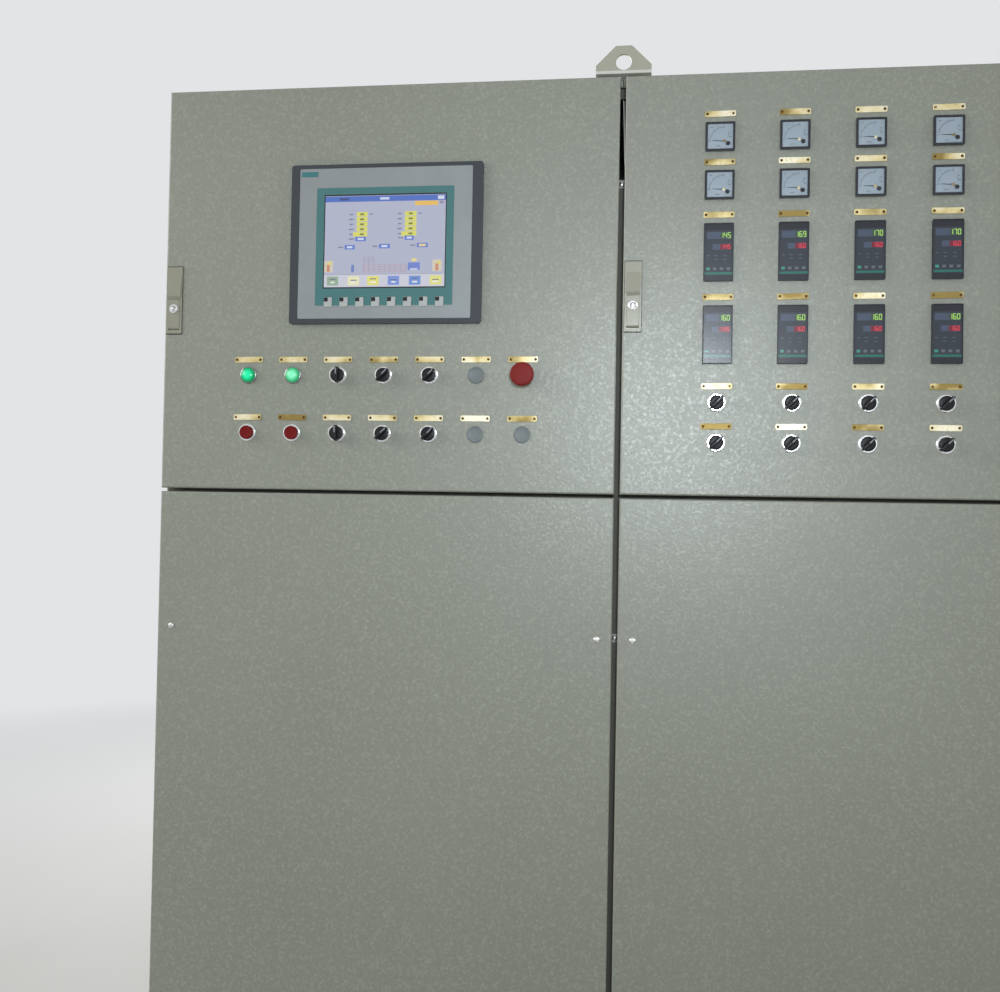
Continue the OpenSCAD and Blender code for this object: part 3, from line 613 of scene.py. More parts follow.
@dataclass(frozen=True)
class Coat:
    """Powder coat or paint with a textured skin, painted shade in the skin's pits, painted glints on its
    flecks and, where asked, a painted highlight band low down.
    """

    name: str
    tone: Colour
    grain: float = 300.0
    depth: float = 0.2
    roughness: float = 0.38
    # Strength of the painted shade in the pits and of the painted glints on the flecks.
    painted_speckle: float = 0.35
    wear: float = 0.0
    gloss: float = 0.5
    sparkle: float = 0.0
    stain: float = 0.1
    # Colour of a painted highlight band and the height that it ends at, or None.
    highlight_band: Colour | None = None
    highlight_band_height: float = 0.0

    def make(self) -> Material:
        """Builds the material."""
        sheet = Sheet(self.name)
        skin = sheet.effect(EFFECTS.peel, Scale=self.grain).outputs
        age = sheet.effect(EFFECTS.mottle, Scale=2.2).outputs
        body = sheet.blend(age["Tone"], shaded(self.tone, 0.90), shaded(self.tone, 1.07))
        body = sheet.blend(sheet.times(age["Stain"], self.stain), body, shaded(self.tone, 0.6))
        # Painted shade: the low parts of the skin are darkened, as shade in its pits.
        pit_shade = sheet.spread(skin["Height"], self.painted_speckle * 0.4, 0.0, -0.25, 0.15)
        body = sheet.blend(pit_shade, body, shaded(self.tone, 0.76))
        # Painted glints: the flecks of the skin are lightened, as light glinting off them.
        painted_speckles = sheet.times(skin["GlintSpecks"], self.painted_speckle)
        body = sheet.blend(painted_speckles, body, shaded(self.tone, 1.6))
        if self.wear:
            worn = sheet.effect(EFFECTS.worn_edges, Radius=0.0015).outputs["Mask"]
            body = sheet.blend(sheet.times(worn, self.wear), body, (0.42, 0.42, 0.41))
        # Painted highlight: below the given height the colour turns light, where an edge catches the light.
        if self.highlight_band is not None:
            top, fade = self.highlight_band_height * MM, 0.0006
            low = sheet.spread(sheet.along("Z"), 1.0, 0.0, top - fade, top + fade)
            body = sheet.blend(low, body, self.highlight_band)
        rough = sheet.spread(age["Tone"], self.roughness - 0.04, self.roughness + 0.04)
        facets = sheet.spread(skin["GlintSpecks"], self.sparkle * 0.3, -self.sparkle)
        return sheet.surface({
            "Base Color": body,
            "Roughness": sheet.maths("ADD", rough, facets),
            "Specular IOR Level": self.gloss,
            "Normal": sheet.bump(skin["Height"], self.depth),
        })


@dataclass(frozen=True)
class Metal:
    """Bare or plated metal, brushed along one axis, with a dull film in places."""

    name: str
    tone: Colour
    film: Colour
    roughness: float = 0.3
    dull: float = 0.35
    lines: Point = (1.0, 1.0, 1.0)
    grain: float = 900.0
    depth: float = 0.01
    patch: float = 9.0

    def make(self) -> Material:
        """Builds the material."""
        sheet = Sheet(self.name)
        drawn = sheet.effect(EFFECTS.brushed, sheet.stretched(self.lines), Scale=self.grain)
        line = drawn.outputs["Line"]
        age = sheet.effect(EFFECTS.mottle, Scale=self.patch).outputs
        body = sheet.blend(sheet.times(age["Tone"], self.dull), self.tone, self.film)
        return sheet.surface({
            "Base Color": sheet.blend(sheet.times(age["Stain"], self.dull), body, self.film),
            "Metallic": 1.0,
            "Roughness": sheet.spread(line, self.roughness - 0.06, self.roughness + 0.14),
            "Normal": sheet.bump(line, self.depth),
        })


@dataclass(frozen=True)
class TarnishedAndGlinting:
    """Thin brass sheet, gone dull with tarnish in places, with painted glints in others: near-white patches
    where the plates would catch the light.
    """

    name: str
    # Near-white colour of the painted glints.
    bright: Colour
    tone: Colour
    dull: Colour

    def make(self) -> Material:
        """Builds the material."""
        sheet = Sheet(self.name)
        far = sheet.effect(EFFECTS.mottle, Scale=13.0).outputs["Tone"]
        near = sheet.effect(EFFECTS.mottle, Scale=55.0).outputs["Stain"]
        drawn = sheet.effect(EFFECTS.brushed, sheet.stretched((0.1, 1.0, 1.0)), Scale=1600.0)
        line = drawn.outputs["Line"]
        body = sheet.blend(sheet.spread(far, 0.0, 1.0, 0.50, 0.60), self.tone, self.dull)
        # Painted glint: these patches take the near-white colour in place of light that the plates reflect.
        body = sheet.blend(sheet.spread(far, 1.0, 0.0, 0.38, 0.50), body, self.bright)
        return sheet.surface({
            "Base Color": sheet.blend(sheet.times(near, 0.6), body, self.dull),
            "Metallic": 0.65,
            "Roughness": sheet.spread(line, 0.38, 0.6),
            "Normal": sheet.bump(line, 0.012),
        })


@dataclass(frozen=True)
class Zinc:
    """Galvanised sheet with its spangle."""

    name: str
    tone: Colour
    spangle: float = 55.0

    def make(self) -> Material:
        """Builds the material."""
        sheet = Sheet(self.name)
        crystals = sheet.add("ShaderNodeTexVoronoi", {"Scale": self.spangle, "Vector": sheet.place})
        shade = sheet.add("ShaderNodeSeparateColor", {"Color": crystals.outputs["Color"]}).outputs
        body = sheet.blend(shade[0], shaded(self.tone, 0.78), self.tone)
        stain = sheet.effect(EFFECTS.mottle, Scale=4.0).outputs["Stain"]
        line = sheet.effect(EFFECTS.brushed, Scale=700.0).outputs["Line"]
        return sheet.surface({
            "Base Color": sheet.blend(sheet.times(stain, 0.35), body, (0.34, 0.34, 0.33)),
            "Metallic": 0.85,
            "Roughness": sheet.spread(shade[1], 0.32, 0.52),
            "Normal": sheet.bump(line, 0.02),
        })


@dataclass(frozen=True)
class Plastic:
    """Moulded plastic or rubber with a fine grain, and another plastic or metal behind a depth."""

    name: str
    tone: Colour
    roughness: float = 0.35
    grain: float = 1400.0
    depth: float = 0.03
    metallic: float = 0.0
    coat: float = 0.0
    gloss: float = 0.5
    rear: Colour | None = None
    rear_from: float = 0.0
    rear_rough: float = 0.45

    def make(self) -> Material:
        """Builds the material."""
        sheet = Sheet(self.name)
        skin = sheet.effect(EFFECTS.peel, Scale=self.grain).outputs["Height"]
        age = sheet.effect(EFFECTS.mottle, Scale=25.0).outputs["Tone"]
        body = sheet.blend(age, shaded(self.tone, 0.86), self.tone)
        rough = sheet.spread(age, self.roughness - 0.04, self.roughness + 0.06)
        metal = self.metallic
        if self.rear is not None:
            start, stop = (self.rear_from - 0.05) * MM, (self.rear_from + 0.05) * MM
            back = sheet.spread(sheet.along("Y"), 0.0, 1.0, start, stop)
            body = sheet.blend(back, body, self.rear)
            metal = sheet.spread(back, self.metallic, 0.0)
            mixed = sheet.add("ShaderNodeMix")
            for index, value in ((0, back), (2, rough), (3, self.rear_rough)):
                sheet.set(mixed.inputs[index], value)
            rough = mixed.outputs[0]
        return sheet.surface({
            "Base Color": body,
            "Metallic": metal,
            "Roughness": rough,
            "Specular IOR Level": self.gloss,
            "Coat Weight": self.coat,
            "Coat Roughness": 0.12,
            "Normal": sheet.bump(skin, self.depth),
        })


@dataclass(frozen=True)
class Printed:
    """Printed film whose colours are stored on the piece, matt or lit from behind."""

    name: str
    glow: float = 0.0
    roughness: float = 0.3

    def make(self) -> Material:
        """Builds the material."""
        sheet = Sheet(self.name)
        ink = sheet.add("ShaderNodeAttribute")
        ink.attribute_name = COLOUR_LAYER
        dots = sheet.effect(EFFECTS.brushed, Scale=2500.0).outputs["Line"]
        body = sheet.blend(sheet.spread(dots, 0.0, 0.10), ink.outputs["Color"], (0.0, 0.0, 0.0))
        lit = {"Emission Color": body, "Emission Strength": self.glow, "Base Color": (0.02, 0.02, 0.02)}
        rough = sheet.spread(dots, self.roughness - 0.05, self.roughness + 0.05)
        return sheet.surface({"Roughness": rough, **(lit if self.glow else {"Base Color": body})})


@dataclass(frozen=True)
class Lit:
    """A lit lens, brightest along its own axis."""

    name: str
    centre: Point
    core: Colour
    rim: Colour
    radius: float = 13.0
    strength: float = 0.95

    def make(self) -> Material:
        """Builds the material."""
        sheet = Sheet(self.name)
        moved = {"Location": [-v * MM for v in self.centre], "Vector": sheet.place}
        centred = sheet.add("ShaderNodeMapping", moved)
        flat = sheet.add("ShaderNodeVectorMath")
        flat.operation = "MULTIPLY"
        sheet.set(flat.inputs[0], centred.outputs["Vector"])
        sheet.set(flat.inputs[1], (1.0, 0.0, 1.0))
        reach = sheet.length(flat.outputs[0])
        inner, outer = 0.35 * self.radius * MM, 0.96 * self.radius * MM
        ribs = sheet.effect(EFFECTS.brushed, Scale=500.0).outputs["Line"]
        return sheet.surface({
            "Emission Color": sheet.blend(sheet.spread(reach, 0.0, 1.0, inner, outer), self.core, self.rim),
            "Emission Strength": self.strength,
            "Specular IOR Level": 0.3,
            "Base Color": shaded(self.rim, 0.2),
            "Roughness": sheet.spread(ribs, 0.08, 0.2),
        })


@dataclass(frozen=True)
class Pane:
    """A thin clear pane with faint smears."""

    name: str
    veil: float = 0.05

    def make(self) -> Material:
        """Builds the material."""
        sheet = Sheet(self.name)
        smears = sheet.effect(EFFECTS.mottle, Scale=30.0).outputs
        return sheet.surface({
            "Alpha": sheet.spread(smears["Tone"], self.veil * 0.7, self.veil * 1.5),
            "Roughness": sheet.spread(smears["Stain"], 0.04, 0.14),
            "Base Color": (0.30, 0.34, 0.38),
        })


class Finish(Enum):
    """Every finish of the cabinet."""

    # The door coat's lightened flecks are painted glints and its darkened pits painted shade.
    DOOR = Coat(
        "door_coat", linear(149, 153, 141), 215.0, 0.13, 0.4, 0.55, gloss=1.0, sparkle=0.08, stain=0.03
    )
    LOCK = Coat("lock_paint", linear(164, 164, 146), 900.0, 0.03, 0.3, 0.05, 0.35, 0.8)
    # The lug's light band at its foot, up to ROOF_Z + 5, is a painted highlight where the foot's front edge
    # catches the light.
    LUG = Coat(
        "lug_coat", linear(188, 188, 171), 500.0, 0.08, 0.4, 0.12, 0.4,
        highlight_band=linear(236, 236, 228), highlight_band_height=ROOF_Z + 5.0,
    )
    PLINTH = Coat("plinth_coat", linear(70, 71, 72), 400.0, 0.12, 0.45, 0.2, 0.5)
    FRAME = Zinc("frame_zinc", (0.62, 0.64, 0.65))
    FITTING = Metal("fitting_zinc", (0.74, 0.74, 0.72), (0.45, 0.44, 0.40), 0.28, 0.3)
    SCREW = Metal("screw_steel", (0.55, 0.55, 0.54), (0.22, 0.21, 0.20), 0.25, 0.4)
    CHROME = Metal("ring_chrome", (0.86, 0.87, 0.88), (0.6, 0.6, 0.6), 0.10, 0.12)
    # The brass plates' near-white patches are painted glints; the dull patches are tarnish.
    BRASS = TarnishedAndGlinting("plate_brass", linear(250, 242, 214), linear(224, 206, 150), linear(152, 130, 72))
    OLD_BRASS = Metal("screw_brass", linear(96, 76, 48), linear(48, 38, 28), 0.35, 0.5)
    FOAM = Plastic("seal_foam", linear(62, 60, 56), 0.85, 900.0, 0.25)
    # Grey of the strips in the gaps between doors, covers and bays: partly their own colour, partly painted
    # shade for the gaps.
    STRIP = Plastic("gap_strip", linear(122, 120, 113), 0.8, 700.0, 0.1, gloss=0.2)
    HINGE = Metal("hinge_zinc", (0.30, 0.31, 0.31), (0.16, 0.16, 0.15), 0.42, 0.4)
    CASE = Plastic("panel_case", linear(60, 66, 73), 0.5, 1100.0, 0.05)
    SILVER = Plastic("panel_plate", linear(162, 168, 170), 0.4, 1400.0, 0.015, 0.35)
    GLASS_DARK = Plastic("screen_glass", linear(26, 28, 32), 0.12, 1400.0, 0.0)
    KEY = Plastic("key_plastic", linear(205, 210, 208), 0.4)
    KNOB = Plastic("knob_black", linear(20, 22, 26), 0.4, 1200.0, 0.02, 0.0, 0.0, 0.3)
    POINTER = Plastic("pointer_inlay", linear(150, 160, 170), 0.4)
    BUTTON = Plastic("button_red", linear(126, 12, 9), 0.5, 900.0, 0.04, gloss=0.25)
    STOP = Plastic("stop_red", linear(138, 28, 22), 0.5, 900.0, 0.03, gloss=0.3)
    COLLAR = Metal("lamp_collar", (0.42, 0.44, 0.45), (0.25, 0.26, 0.27), 0.22, 0.4)
    PLUG = Plastic("plug_grey", linear(130, 139, 141), 0.45, 900.0, 0.05)
    BLOCK = Plastic("block_black", linear(38, 39, 41), 0.5, 900.0, 0.06)
    RINGS = Plastic(
        "switch_rings", (0.88, 0.89, 0.9), 0.26, 1200.0, 0.0, 1.0, 0.0, 0.5, linear(38, 39, 41), -299.5, 0.5
    )
    METER = Plastic("meter_bezel", linear(34, 38, 48), 0.2, 1200.0, 0.01, 0.0, 0.2)
    DIAL = Printed("dial_print", 0.0, 0.5)
    CONTROLLER = Plastic("controller_case", linear(42, 47, 55), 0.4, 1200.0, 0.03, gloss=0.35)
    FILM = Printed("controller_film", 0.0, 0.25)
    PICTURE = Printed("screen_picture", 0.92, 0.3)
    DIGITS = Printed("lit_digits", 0.95, 0.3)
    PANE = Pane("meter_pane")
    LAMP_ONE = Lit("lamp_one_lens", (-640.0, -300.0, 1590.0), linear(34, 250, 178), linear(0, 128, 66))
    LAMP_TWO = Lit("lamp_two_lens", (-560.0, -300.0, 1590.0), linear(140, 255, 200), linear(8, 150, 84))


@dataclass
class Wardrobe:
    """Makes each finish once and gives it to pieces."""

    made: dict[Finish, Material] = field(default_factory=dict)

    def material(self, finish: Finish) -> Material:
        """The material of a finish, made at its first use."""
        if finish not in self.made:
            self.made[finish] = finish.value.make()
        return self.made[finish]

    def dress(self, piece: Object, finish: Finish) -> Object:
        """Gives a whole piece one finish."""
        piece.data.materials.clear()
        piece.data.materials.append(self.material(finish))
        return piece

    def dress_nodes(self, nodes: dict[str, Object], choice: dict[Finish, Sequence[str]]) -> None:
        """Gives the CAD nodes their finishes.

        Args:
            nodes: The CAD nodes by name.
            choice: The names of the nodes that each finish goes to.
        """
        for finish, names in choice.items():
            for name in names:
                for holder in nodes[name].material_slots:
                    holder.material = self.material(finish)


WARDROBE = Wardrobe()


def ready(piece: Object, body: str, slot: str, finish: Finish, *replaced: str) -> Object:
    """Finishes a piece: smooth shading, material, and the body that it rides on.

    Args:
        piece: The piece, in its place.
        body: The CAD body that carries it.
        slot: Not used.
        finish: Its finish.
        *replaced: CAD nodes that it stands for.

    Returns:
        The piece.
    """
    BENCH.smooth(piece)
    WARDROBE.dress(piece, finish)
    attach(piece, body)
    if replaced:
        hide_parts(*replaced)
    log.info("%s rides on %s, %d faces", piece.name, body, len(piece.data.polygons))
    return piece


def ready_copies(
    name: str, template: Object, seats: Sequence[Matrix], body: str, slot: str, finish: Finish,
    *replaced: str, keep: bool = False,
) -> Object:
    """Copies a template to its places and finishes the piece that the copies make.

    Args:
        name: The piece's name.
        template: What is copied, made at the origin.
        seats: One matrix for each copy.
        body: The CAD body that carries the piece.
        slot: Not used; passed on to ready.
        finish: Its finish.
        *replaced: CAD nodes that it stands for.
        keep: True to keep the template for later.

    Returns:
        The piece.
    """
    return ready(BENCH.copies(name, template, seats, keep=keep), body, slot, finish, *replaced)


@dataclass
class Screw:
    """A slotted screw head, made with its seat at Z 0."""

    radius: float
    height: float
    slot_width: float = 0.8
    sides: int = 20

    def template(self) -> Object:
        """Models one head."""
        r, h = self.radius, self.height
        head = BENCH.turned(
            "screw", [(r * 0.92, 0), (r, h * 0.18), (r, h * 0.5), (r * 0.8, h * 0.85), (r * 0.45, h)],
            self.sides,
        )
        half = self.slot_width / 2
        cutter = BENCH.block("slot", (-half, -r * 1.2, h * 0.55), (half, r * 1.2, h * 1.5))
        return BENCH.combine(head, cutter, "DIFFERENCE")


@dataclass
class Bolt:
    """A hexagon bolt head on a washer, made with its seat at Z 0."""

    across: float
    height: float
    washer: float

    def template(self) -> Object:
        """Models one bolt head with its washer."""
        r = self.across / math.sqrt(3)
        top = 1.6 + self.height
        steps = [(r * 0.96, 1.6), (r, 2.0), (r, top - self.height * 0.1), (r * 0.86, top)]
        head = BENCH.turned("bolt", steps, 6)
        w = self.washer / 2
        washer = BENCH.turned("washer", [(w - 0.3, 0), (w, 0.3), (w, 1.3), (w - 0.3, 1.6)], 28)
        return BENCH.join("bolt", [head, washer])


@dataclass
class NamePlates:
    """The brass plates over the devices of one door, each on two small screws."""

    side: str
    centre_x: float
    columns: Sequence[float]
    rows: Sequence[float]
    width: float = 50.0
    height: float = 10.0
    thickness: float = 1.0
    screw_x: float = 21.0
    seed: int = 7

    def plate(self, left: float, right: float, tip: float) -> Object:
        """Models one plate whose ends stand off a little and which leans a little.

        Args:
            left: Outward bend of its left end, in degrees.
            right: Outward bend of its right end, in degrees.
            tip: Lean about its length, in degrees.

        Returns:
            The plate, its back at Z 0.
        """
        w, h, t = self.width / 2, self.height / 2, self.thickness
        plate = BENCH.block("plate", (-w, -h, 0), (w, h, t))
        BENCH.round_edges(plate, 2.2, 4, upright)
        BENCH.pick_edges(plate, lambda middle, way: abs(way.x) > ALONG and abs(middle.y) > h - 0.1)
        bpy.ops.mesh.subdivide(number_cuts=9)
        BENCH.clear()
        for sign, bend in ((-1, left), (1, right)):
            for share in (0.2, 0.4, 0.6, 0.8):
                BENCH.pick_faces(plate, lambda m, n, s=sign, r=share: s * m.x > r * w)
                turn = math.radians(-sign * bend / 4)
                centre = (sign * share * w * MM, 0, 0)
                bpy.ops.transform.rotate(value=-turn, orient_axis="Y", center_override=centre)
                BENCH.clear()
        BENCH.round_edges(plate, 0.2, 1)
        BENCH.place(plate, Matrix.Rotation(math.radians(tip), 4, "X"))
        lowest = min(v.co.z for v in plate.data.vertices)
        return BENCH.place(plate, Matrix.Translation((0, 0, -lowest)))

    def build(self) -> None:
        """Builds the plates and their screws."""
        draw = random.Random(self.seed)
        places = [(x, z) for z in self.rows for x in self.columns]
        body = f"{self.side}_door"
        bends = ((2.0, 0.5, 1.0), (0.0, 3.0, -1.5), (3.5, 3.0, 0.5), (0.5, 1.0, -0.6), (0.0, 0.0, 2.0))
        plates = []
        for index, bend in enumerate(bends):
            chosen = [p for i, p in enumerate(places) if (i * 7 + self.seed) % len(bends) == index]
            seats = [facing(self.centre_x + x, z, turn=draw.uniform(-0.8, 0.8)) for x, z in chosen]
            plates.append(BENCH.copies(f"plates_{index}", self.plate(*bend), seats))
        joined = BENCH.join(f"{self.side}_plates", plates)
        ready(joined, body, "brass", Finish.BRASS, f"{self.side}_name_plates")
        seats = []
        for x, z in places:
            for end in (-1, 1):
                turn = draw.uniform(0, 180)
                where = (self.centre_x + x + end * self.screw_x, z, FRONT_Y - self.thickness, turn)
                seats.append(facing(*where))
        head = Screw(2.3, 1.2, 0.6, 14).template()
        ready_copies(f"{self.side}_plate_screws", head, seats, body, "brass", Finish.OLD_BRASS)


@dataclass(frozen=True)
class Tile:
    """A coloured rectangle of a printed or lit picture, in millimetres from the picture's middle."""

    x: float
    y: float
    width: float
    height: float
    tone: Colour
    lift: float = 0.0


@dataclass
class Picture:
    """A picture laid from thin coloured tiles."""

    name: str
    tiles: list[Tile] = field(default_factory=list)
    thickness: float = 0.12

    def tile(self) -> Object:
        """Models one tile, 1 mm wide and high, with a thin ring inset in its front."""
        tile = BENCH.block("tile", (-0.5, -0.5, 0), (0.5, 0.5, 1))
        BENCH.pick_faces(tile, on_top)
        bpy.ops.mesh.inset(thickness=0.02 * MM)
        BENCH.clear()
        return tile

    def build(self, centres: Sequence[Matrix]) -> Object:
        """Lays the picture at each place that is given.

        Args:
            centres: The matrix of the picture's middle for each copy.

        Returns:
            The joined picture.
        """
        places, colours = [], []
        for centre in centres:
            for tile in self.tiles:
                seat = Matrix.Translation(metres((tile.x, tile.y, tile.lift)))
                size = Matrix.Diagonal((tile.width, tile.height, self.thickness, 1.0))
                places.append(centre @ seat @ size)
                colours.append(tile.tone)
        return BENCH.copies(self.name, self.tile(), places, colours)


@dataclass
class OperatorPanel:
    """The touch panel in the left door: film, screen picture, keys and rear fittings."""

    centre_x: float = LEFT_X
    top_z: float = DOOR_TOP - 139.0
    height: float = 275.0
    face_y: float = FRONT_Y - 6.6
    screen_y: float = FRONT_Y - 6.0
    screen_x: float = -1.5
    screen_drop: float = 133.5
    key_drop: float = 238.0
    key_pitch: float = 27.8
    key_count: int = 8
    film_x: float = -2.0
    film_drop: float = 142.25
    film_thickness: float = 0.25
    rear_depth: float = 55.0
    rib_count: int = 12

    def seat(self, x: float, drop: float, y: float) -> Matrix:
        """The place of a point given from the panel's middle and top."""
        return facing(self.centre_x + x, self.top_z - drop, y)

    def key_xs(self) -> list[float]:
        """The keys' places, from the panel's middle."""
        middle = (self.key_count - 1) / 2
        return [self.screen_x + (i - middle) * self.key_pitch for i in range(self.key_count)]

    def lay(self, film: Object, x: float, drop: float, tone: Colour) -> None:
        """Lays a printed film of one colour on the panel's face."""
        BENCH.place(film, self.seat(x, drop, self.face_y))
        BENCH.tint(film, tone)
        ready(film, "left_door", "plate_silver", Finish.FILM)

    def film(self) -> None:
        """The teal film round screen and keys, with its windows cut out, and the bare label."""
        film = BENCH.slab("panel_film", 240, 203.5, 0, self.film_thickness)
        BENCH.round_edges(film, 2.0, 3, upright)
        windows = [(self.screen_x, self.screen_drop, 214.2, 162.2)]
        windows += [(x, self.key_drop, 15.0, 17.0) for x in self.key_xs()]
        for x, drop, width, height in windows:
            middle_x, middle_y = x - self.film_x, self.film_drop - drop
            low = (middle_x - width / 2, middle_y - height / 2, -1)
            high = (middle_x + width / 2, middle_y + height / 2, 1)
            film = BENCH.combine(film, BENCH.block("window", low, high), "DIFFERENCE")
        self.lay(film, self.film_x, self.film_drop, linear(84, 138, 140))
        label = BENCH.slab("panel_label", 29, 8.6, 0, self.film_thickness)
        BENCH.round_edges(label, 0.6, 2, upright)
        self.lay(label, -135, 16.5, linear(70, 140, 145))

    def screen(self) -> None:
        """The lit picture: bars, value boxes, a line drawing of a machine, and a row of icons."""
        blue, pale = linear(78, 112, 196), linear(180, 184, 206)
        yellow, orange = linear(222, 220, 104), linear(236, 190, 92)
        value, grey = linear(96, 124, 206), linear(128, 132, 158)
        tiles = [
            Tile(0, 0, 211, 158, pale),
            Tile(0, 73.2, 211, 9.6, blue, 0.1),
            Tile(-72, 73, 17, 4, linear(58, 74, 130), 0.2),
            Tile(-1, 73.2, 16, 4, linear(208, 216, 240), 0.2),
            Tile(97, 73.2, 11, 6, linear(214, 222, 236), 0.2),
            Tile(72, 64, 40, 7.5, orange, 0.1),
            Tile(98, 65, 7, 4.5, linear(150, 140, 170), 0.1),
        ]
        for x, wide in ((-40, 19), (45, 20)):
            for row in range(5):
                width = wide + (6 if row == 4 else 0)
                tiles.append(Tile(x - (3 if row == 4 else 0), 46.5 - row * 8.6, width, 7.6, yellow, 0.1))
                tiles.append(Tile(x, 46.5 - row * 8.6, 7, 3.2, linear(120, 132, 70), 0.2))
                tiles.append(Tile(x - 19, 46.5 - row * 8.6, 6 + 2 * (row % 2), 2.4, grey, 0.1))
            tiles.append(Tile(x + 16, 46.5, 6, 2.0, grey, 0.1))
        for x, y, w in ((-42, 4, 19), (43, 5, 16), (-61, -10, 18), (0, -9, 19), (66, -8, 19)):
            tiles.append(Tile(x, y, w, 7.6, value, 0.1))
            tiles.append(Tile(x, y, w * 0.55, 3.4, linear(214, 224, 248), 0.2))
            tiles.append(Tile(x - w / 2 - 7, y, 9, 2.2, grey, 0.1))
        tiles.append(Tile(66, -8, 12, 4.0, linear(238, 214, 150), 0.3))
        self.machine_picture(tiles)
        tiles.append(Tile(0, -57, 205, 0.7, linear(150, 150, 172), 0.1))
        tiles.append(Tile(0, -68, 211, 21, linear(206, 208, 222), 0.05))
        icons = (
            (-90, linear(152, 176, 152)), (-53, linear(236, 234, 190)), (-19, linear(232, 226, 118)),
            (17, linear(124, 150, 220)), (54, linear(112, 148, 216)), (90, linear(228, 226, 132)),
        )
        for index, (x, tone) in enumerate(icons):
            tiles.append(Tile(x, -68, 20, 15.5, tone, 0.1))
            tiles.append(Tile(x, -65 - (index % 2) * 2, 11, 1.6, linear(92, 100, 130), 0.2))
            tiles.append(Tile(x, -70.5, 7 + index % 3 * 2, 2.6, linear(240, 240, 236), 0.2))
        picture = Picture("screen_picture", tiles).build(
            [self.seat(self.screen_x, self.screen_drop, self.screen_y - 0.05)]
        )
        ready(picture, "left_door", "screen", Finish.PICTURE)
        border = BENCH.slab("screen_border", 214.4, 162.4, 0, 0.5)
        hole = BENCH.slab("hole", 210.6, 157.6, -1, 1)
        border = BENCH.combine(border, hole, "DIFFERENCE")
        border.matrix_world = self.seat(self.screen_x, self.screen_drop, self.screen_y)
        BENCH.settle(BENCH.round_edges(border, 0.2, 1))
        ready(border, "left_door", "screen", Finish.GLASS_DARK)

    def machine_picture(self, tiles: list[Tile]) -> None:
        """Adds the line drawing of a machine to the screen's tiles."""
        red, brown = linear(196, 150, 158), linear(160, 150, 168)
        for x in (-98, 92):
            tiles.append(Tile(x, -43, 16, 20, linear(214, 206, 186), 0.1))
            tiles.append(Tile(x, -46, 5, 12, linear(204, 140, 110), 0.2))
            tiles.append(Tile(x + 3, -38, 6, 5, linear(226, 214, 120), 0.2))
        tiles.append(Tile(-55, -47, 5, 13, linear(112, 132, 196), 0.1))
        for column in range(9):
            tall = 24 if column < 3 else 13
            tiles.append(Tile(-36 + column * 9.3, -53 + tall / 2, 0.8, tall, brown, 0.1))
        for row in range(4):
            tiles.append(Tile(1, -53 + row * 4.2, 76, 0.8, red, 0.15))
        for row in range(3):
            tiles.append(Tile(-27, -36 + row * 4.2, 20, 0.8, brown, 0.15))
        tiles.append(Tile(52, -44, 21, 13, linear(112, 134, 208), 0.1))
        tiles.append(Tile(52, -33, 8, 5, linear(232, 222, 140), 0.1))
        tiles.append(Tile(52, -49, 13, 3, linear(198, 206, 232), 0.2))

    def key_windows(self) -> None:
        """The small dark windows in the keys' upper left corners."""
        window = BENCH.slab("key_window", 6.8, 6.8, 0, 0.3)
        BENCH.round_edges(window, 0.6, 2, upright)
        seats = [self.seat(x - 3.5, self.key_drop - 4.3, FRONT_Y - 7.6) for x in self.key_xs()]
        ready_copies("key_windows", window, seats, "left_door", "case_dark", Finish.GLASS_DARK)

    def rear(self) -> None:
        """Vents, sockets and clamps on the back of the case."""
        back = FRONT_Y + self.rear_depth
        parts = []
        for row in range(self.rib_count):
            rib = BENCH.slab("rib", 140, 2.4, -0.2, 1.6)
            parts.append(BENCH.place(rib, self.rear_seat(0, 40.0 + row * 5.5, back)))
        for x, w, h in ((-95, 30, 14), (-50, 34, 12), (-8, 16, 14), (22, 16, 14), (70, 40, 10)):
            socket = BENCH.slab("socket", w, h, -0.2, 6)
            BENCH.inset(socket, on_top, 1.4, 4.0)
            socket.matrix_world = self.rear_seat(x, 214, back)
            parts.append(BENCH.settle(BENCH.round_edges(socket, 0.4, 1)))
        fittings = BENCH.join("panel_rear_fittings", parts)
        ready(fittings, "left_door", "case_dark", Finish.BLOCK)
        clamp = BENCH.slab("clamp", 12, 18, 0, 10)
        BENCH.round_edges(clamp, 1.0, 2)
        head = BENCH.place(Screw(3.4, 2.4, 0.9).template(), Matrix.Translation(metres((0, 0, 10))))
        clamp = BENCH.join("clamp", [clamp, head])
        spots = [(x, drop) for x in (-110, 0, 110) for drop in (4, 271)]
        spots += [(x, drop) for drop in (80, 195) for x in (-163, 163)]
        seats = [self.rear_seat(x, drop, FRONT_Y + 2.0) for x, drop in spots]
        ready_copies("panel_clamps", clamp, seats, "left_door", "fitting_zinc", Finish.FITTING)

    def rear_seat(self, x: float, drop: float, y: float) -> Matrix:
        """The place of a piece that faces the rear."""
        return facing(self.centre_x + x, self.top_z - drop, y, 0.0, 180.0)

    def build(self) -> None:
        """Builds the panel's pieces."""
        self.film()
        self.screen()
        self.key_windows()
        self.rear()


class Device(Enum):
    """The round devices of the doors."""

    LAMP = "lamp"
    SELECTOR = "selector"
    PLUG = "plug"
    STOP = "stop"
    BUTTON = "button"


@dataclass(frozen=True)
class Spot:
    """A round device's place on its door and the turn of its pointer."""

    kind: Device
    x: float
    z: float
    turn: float = 0.0


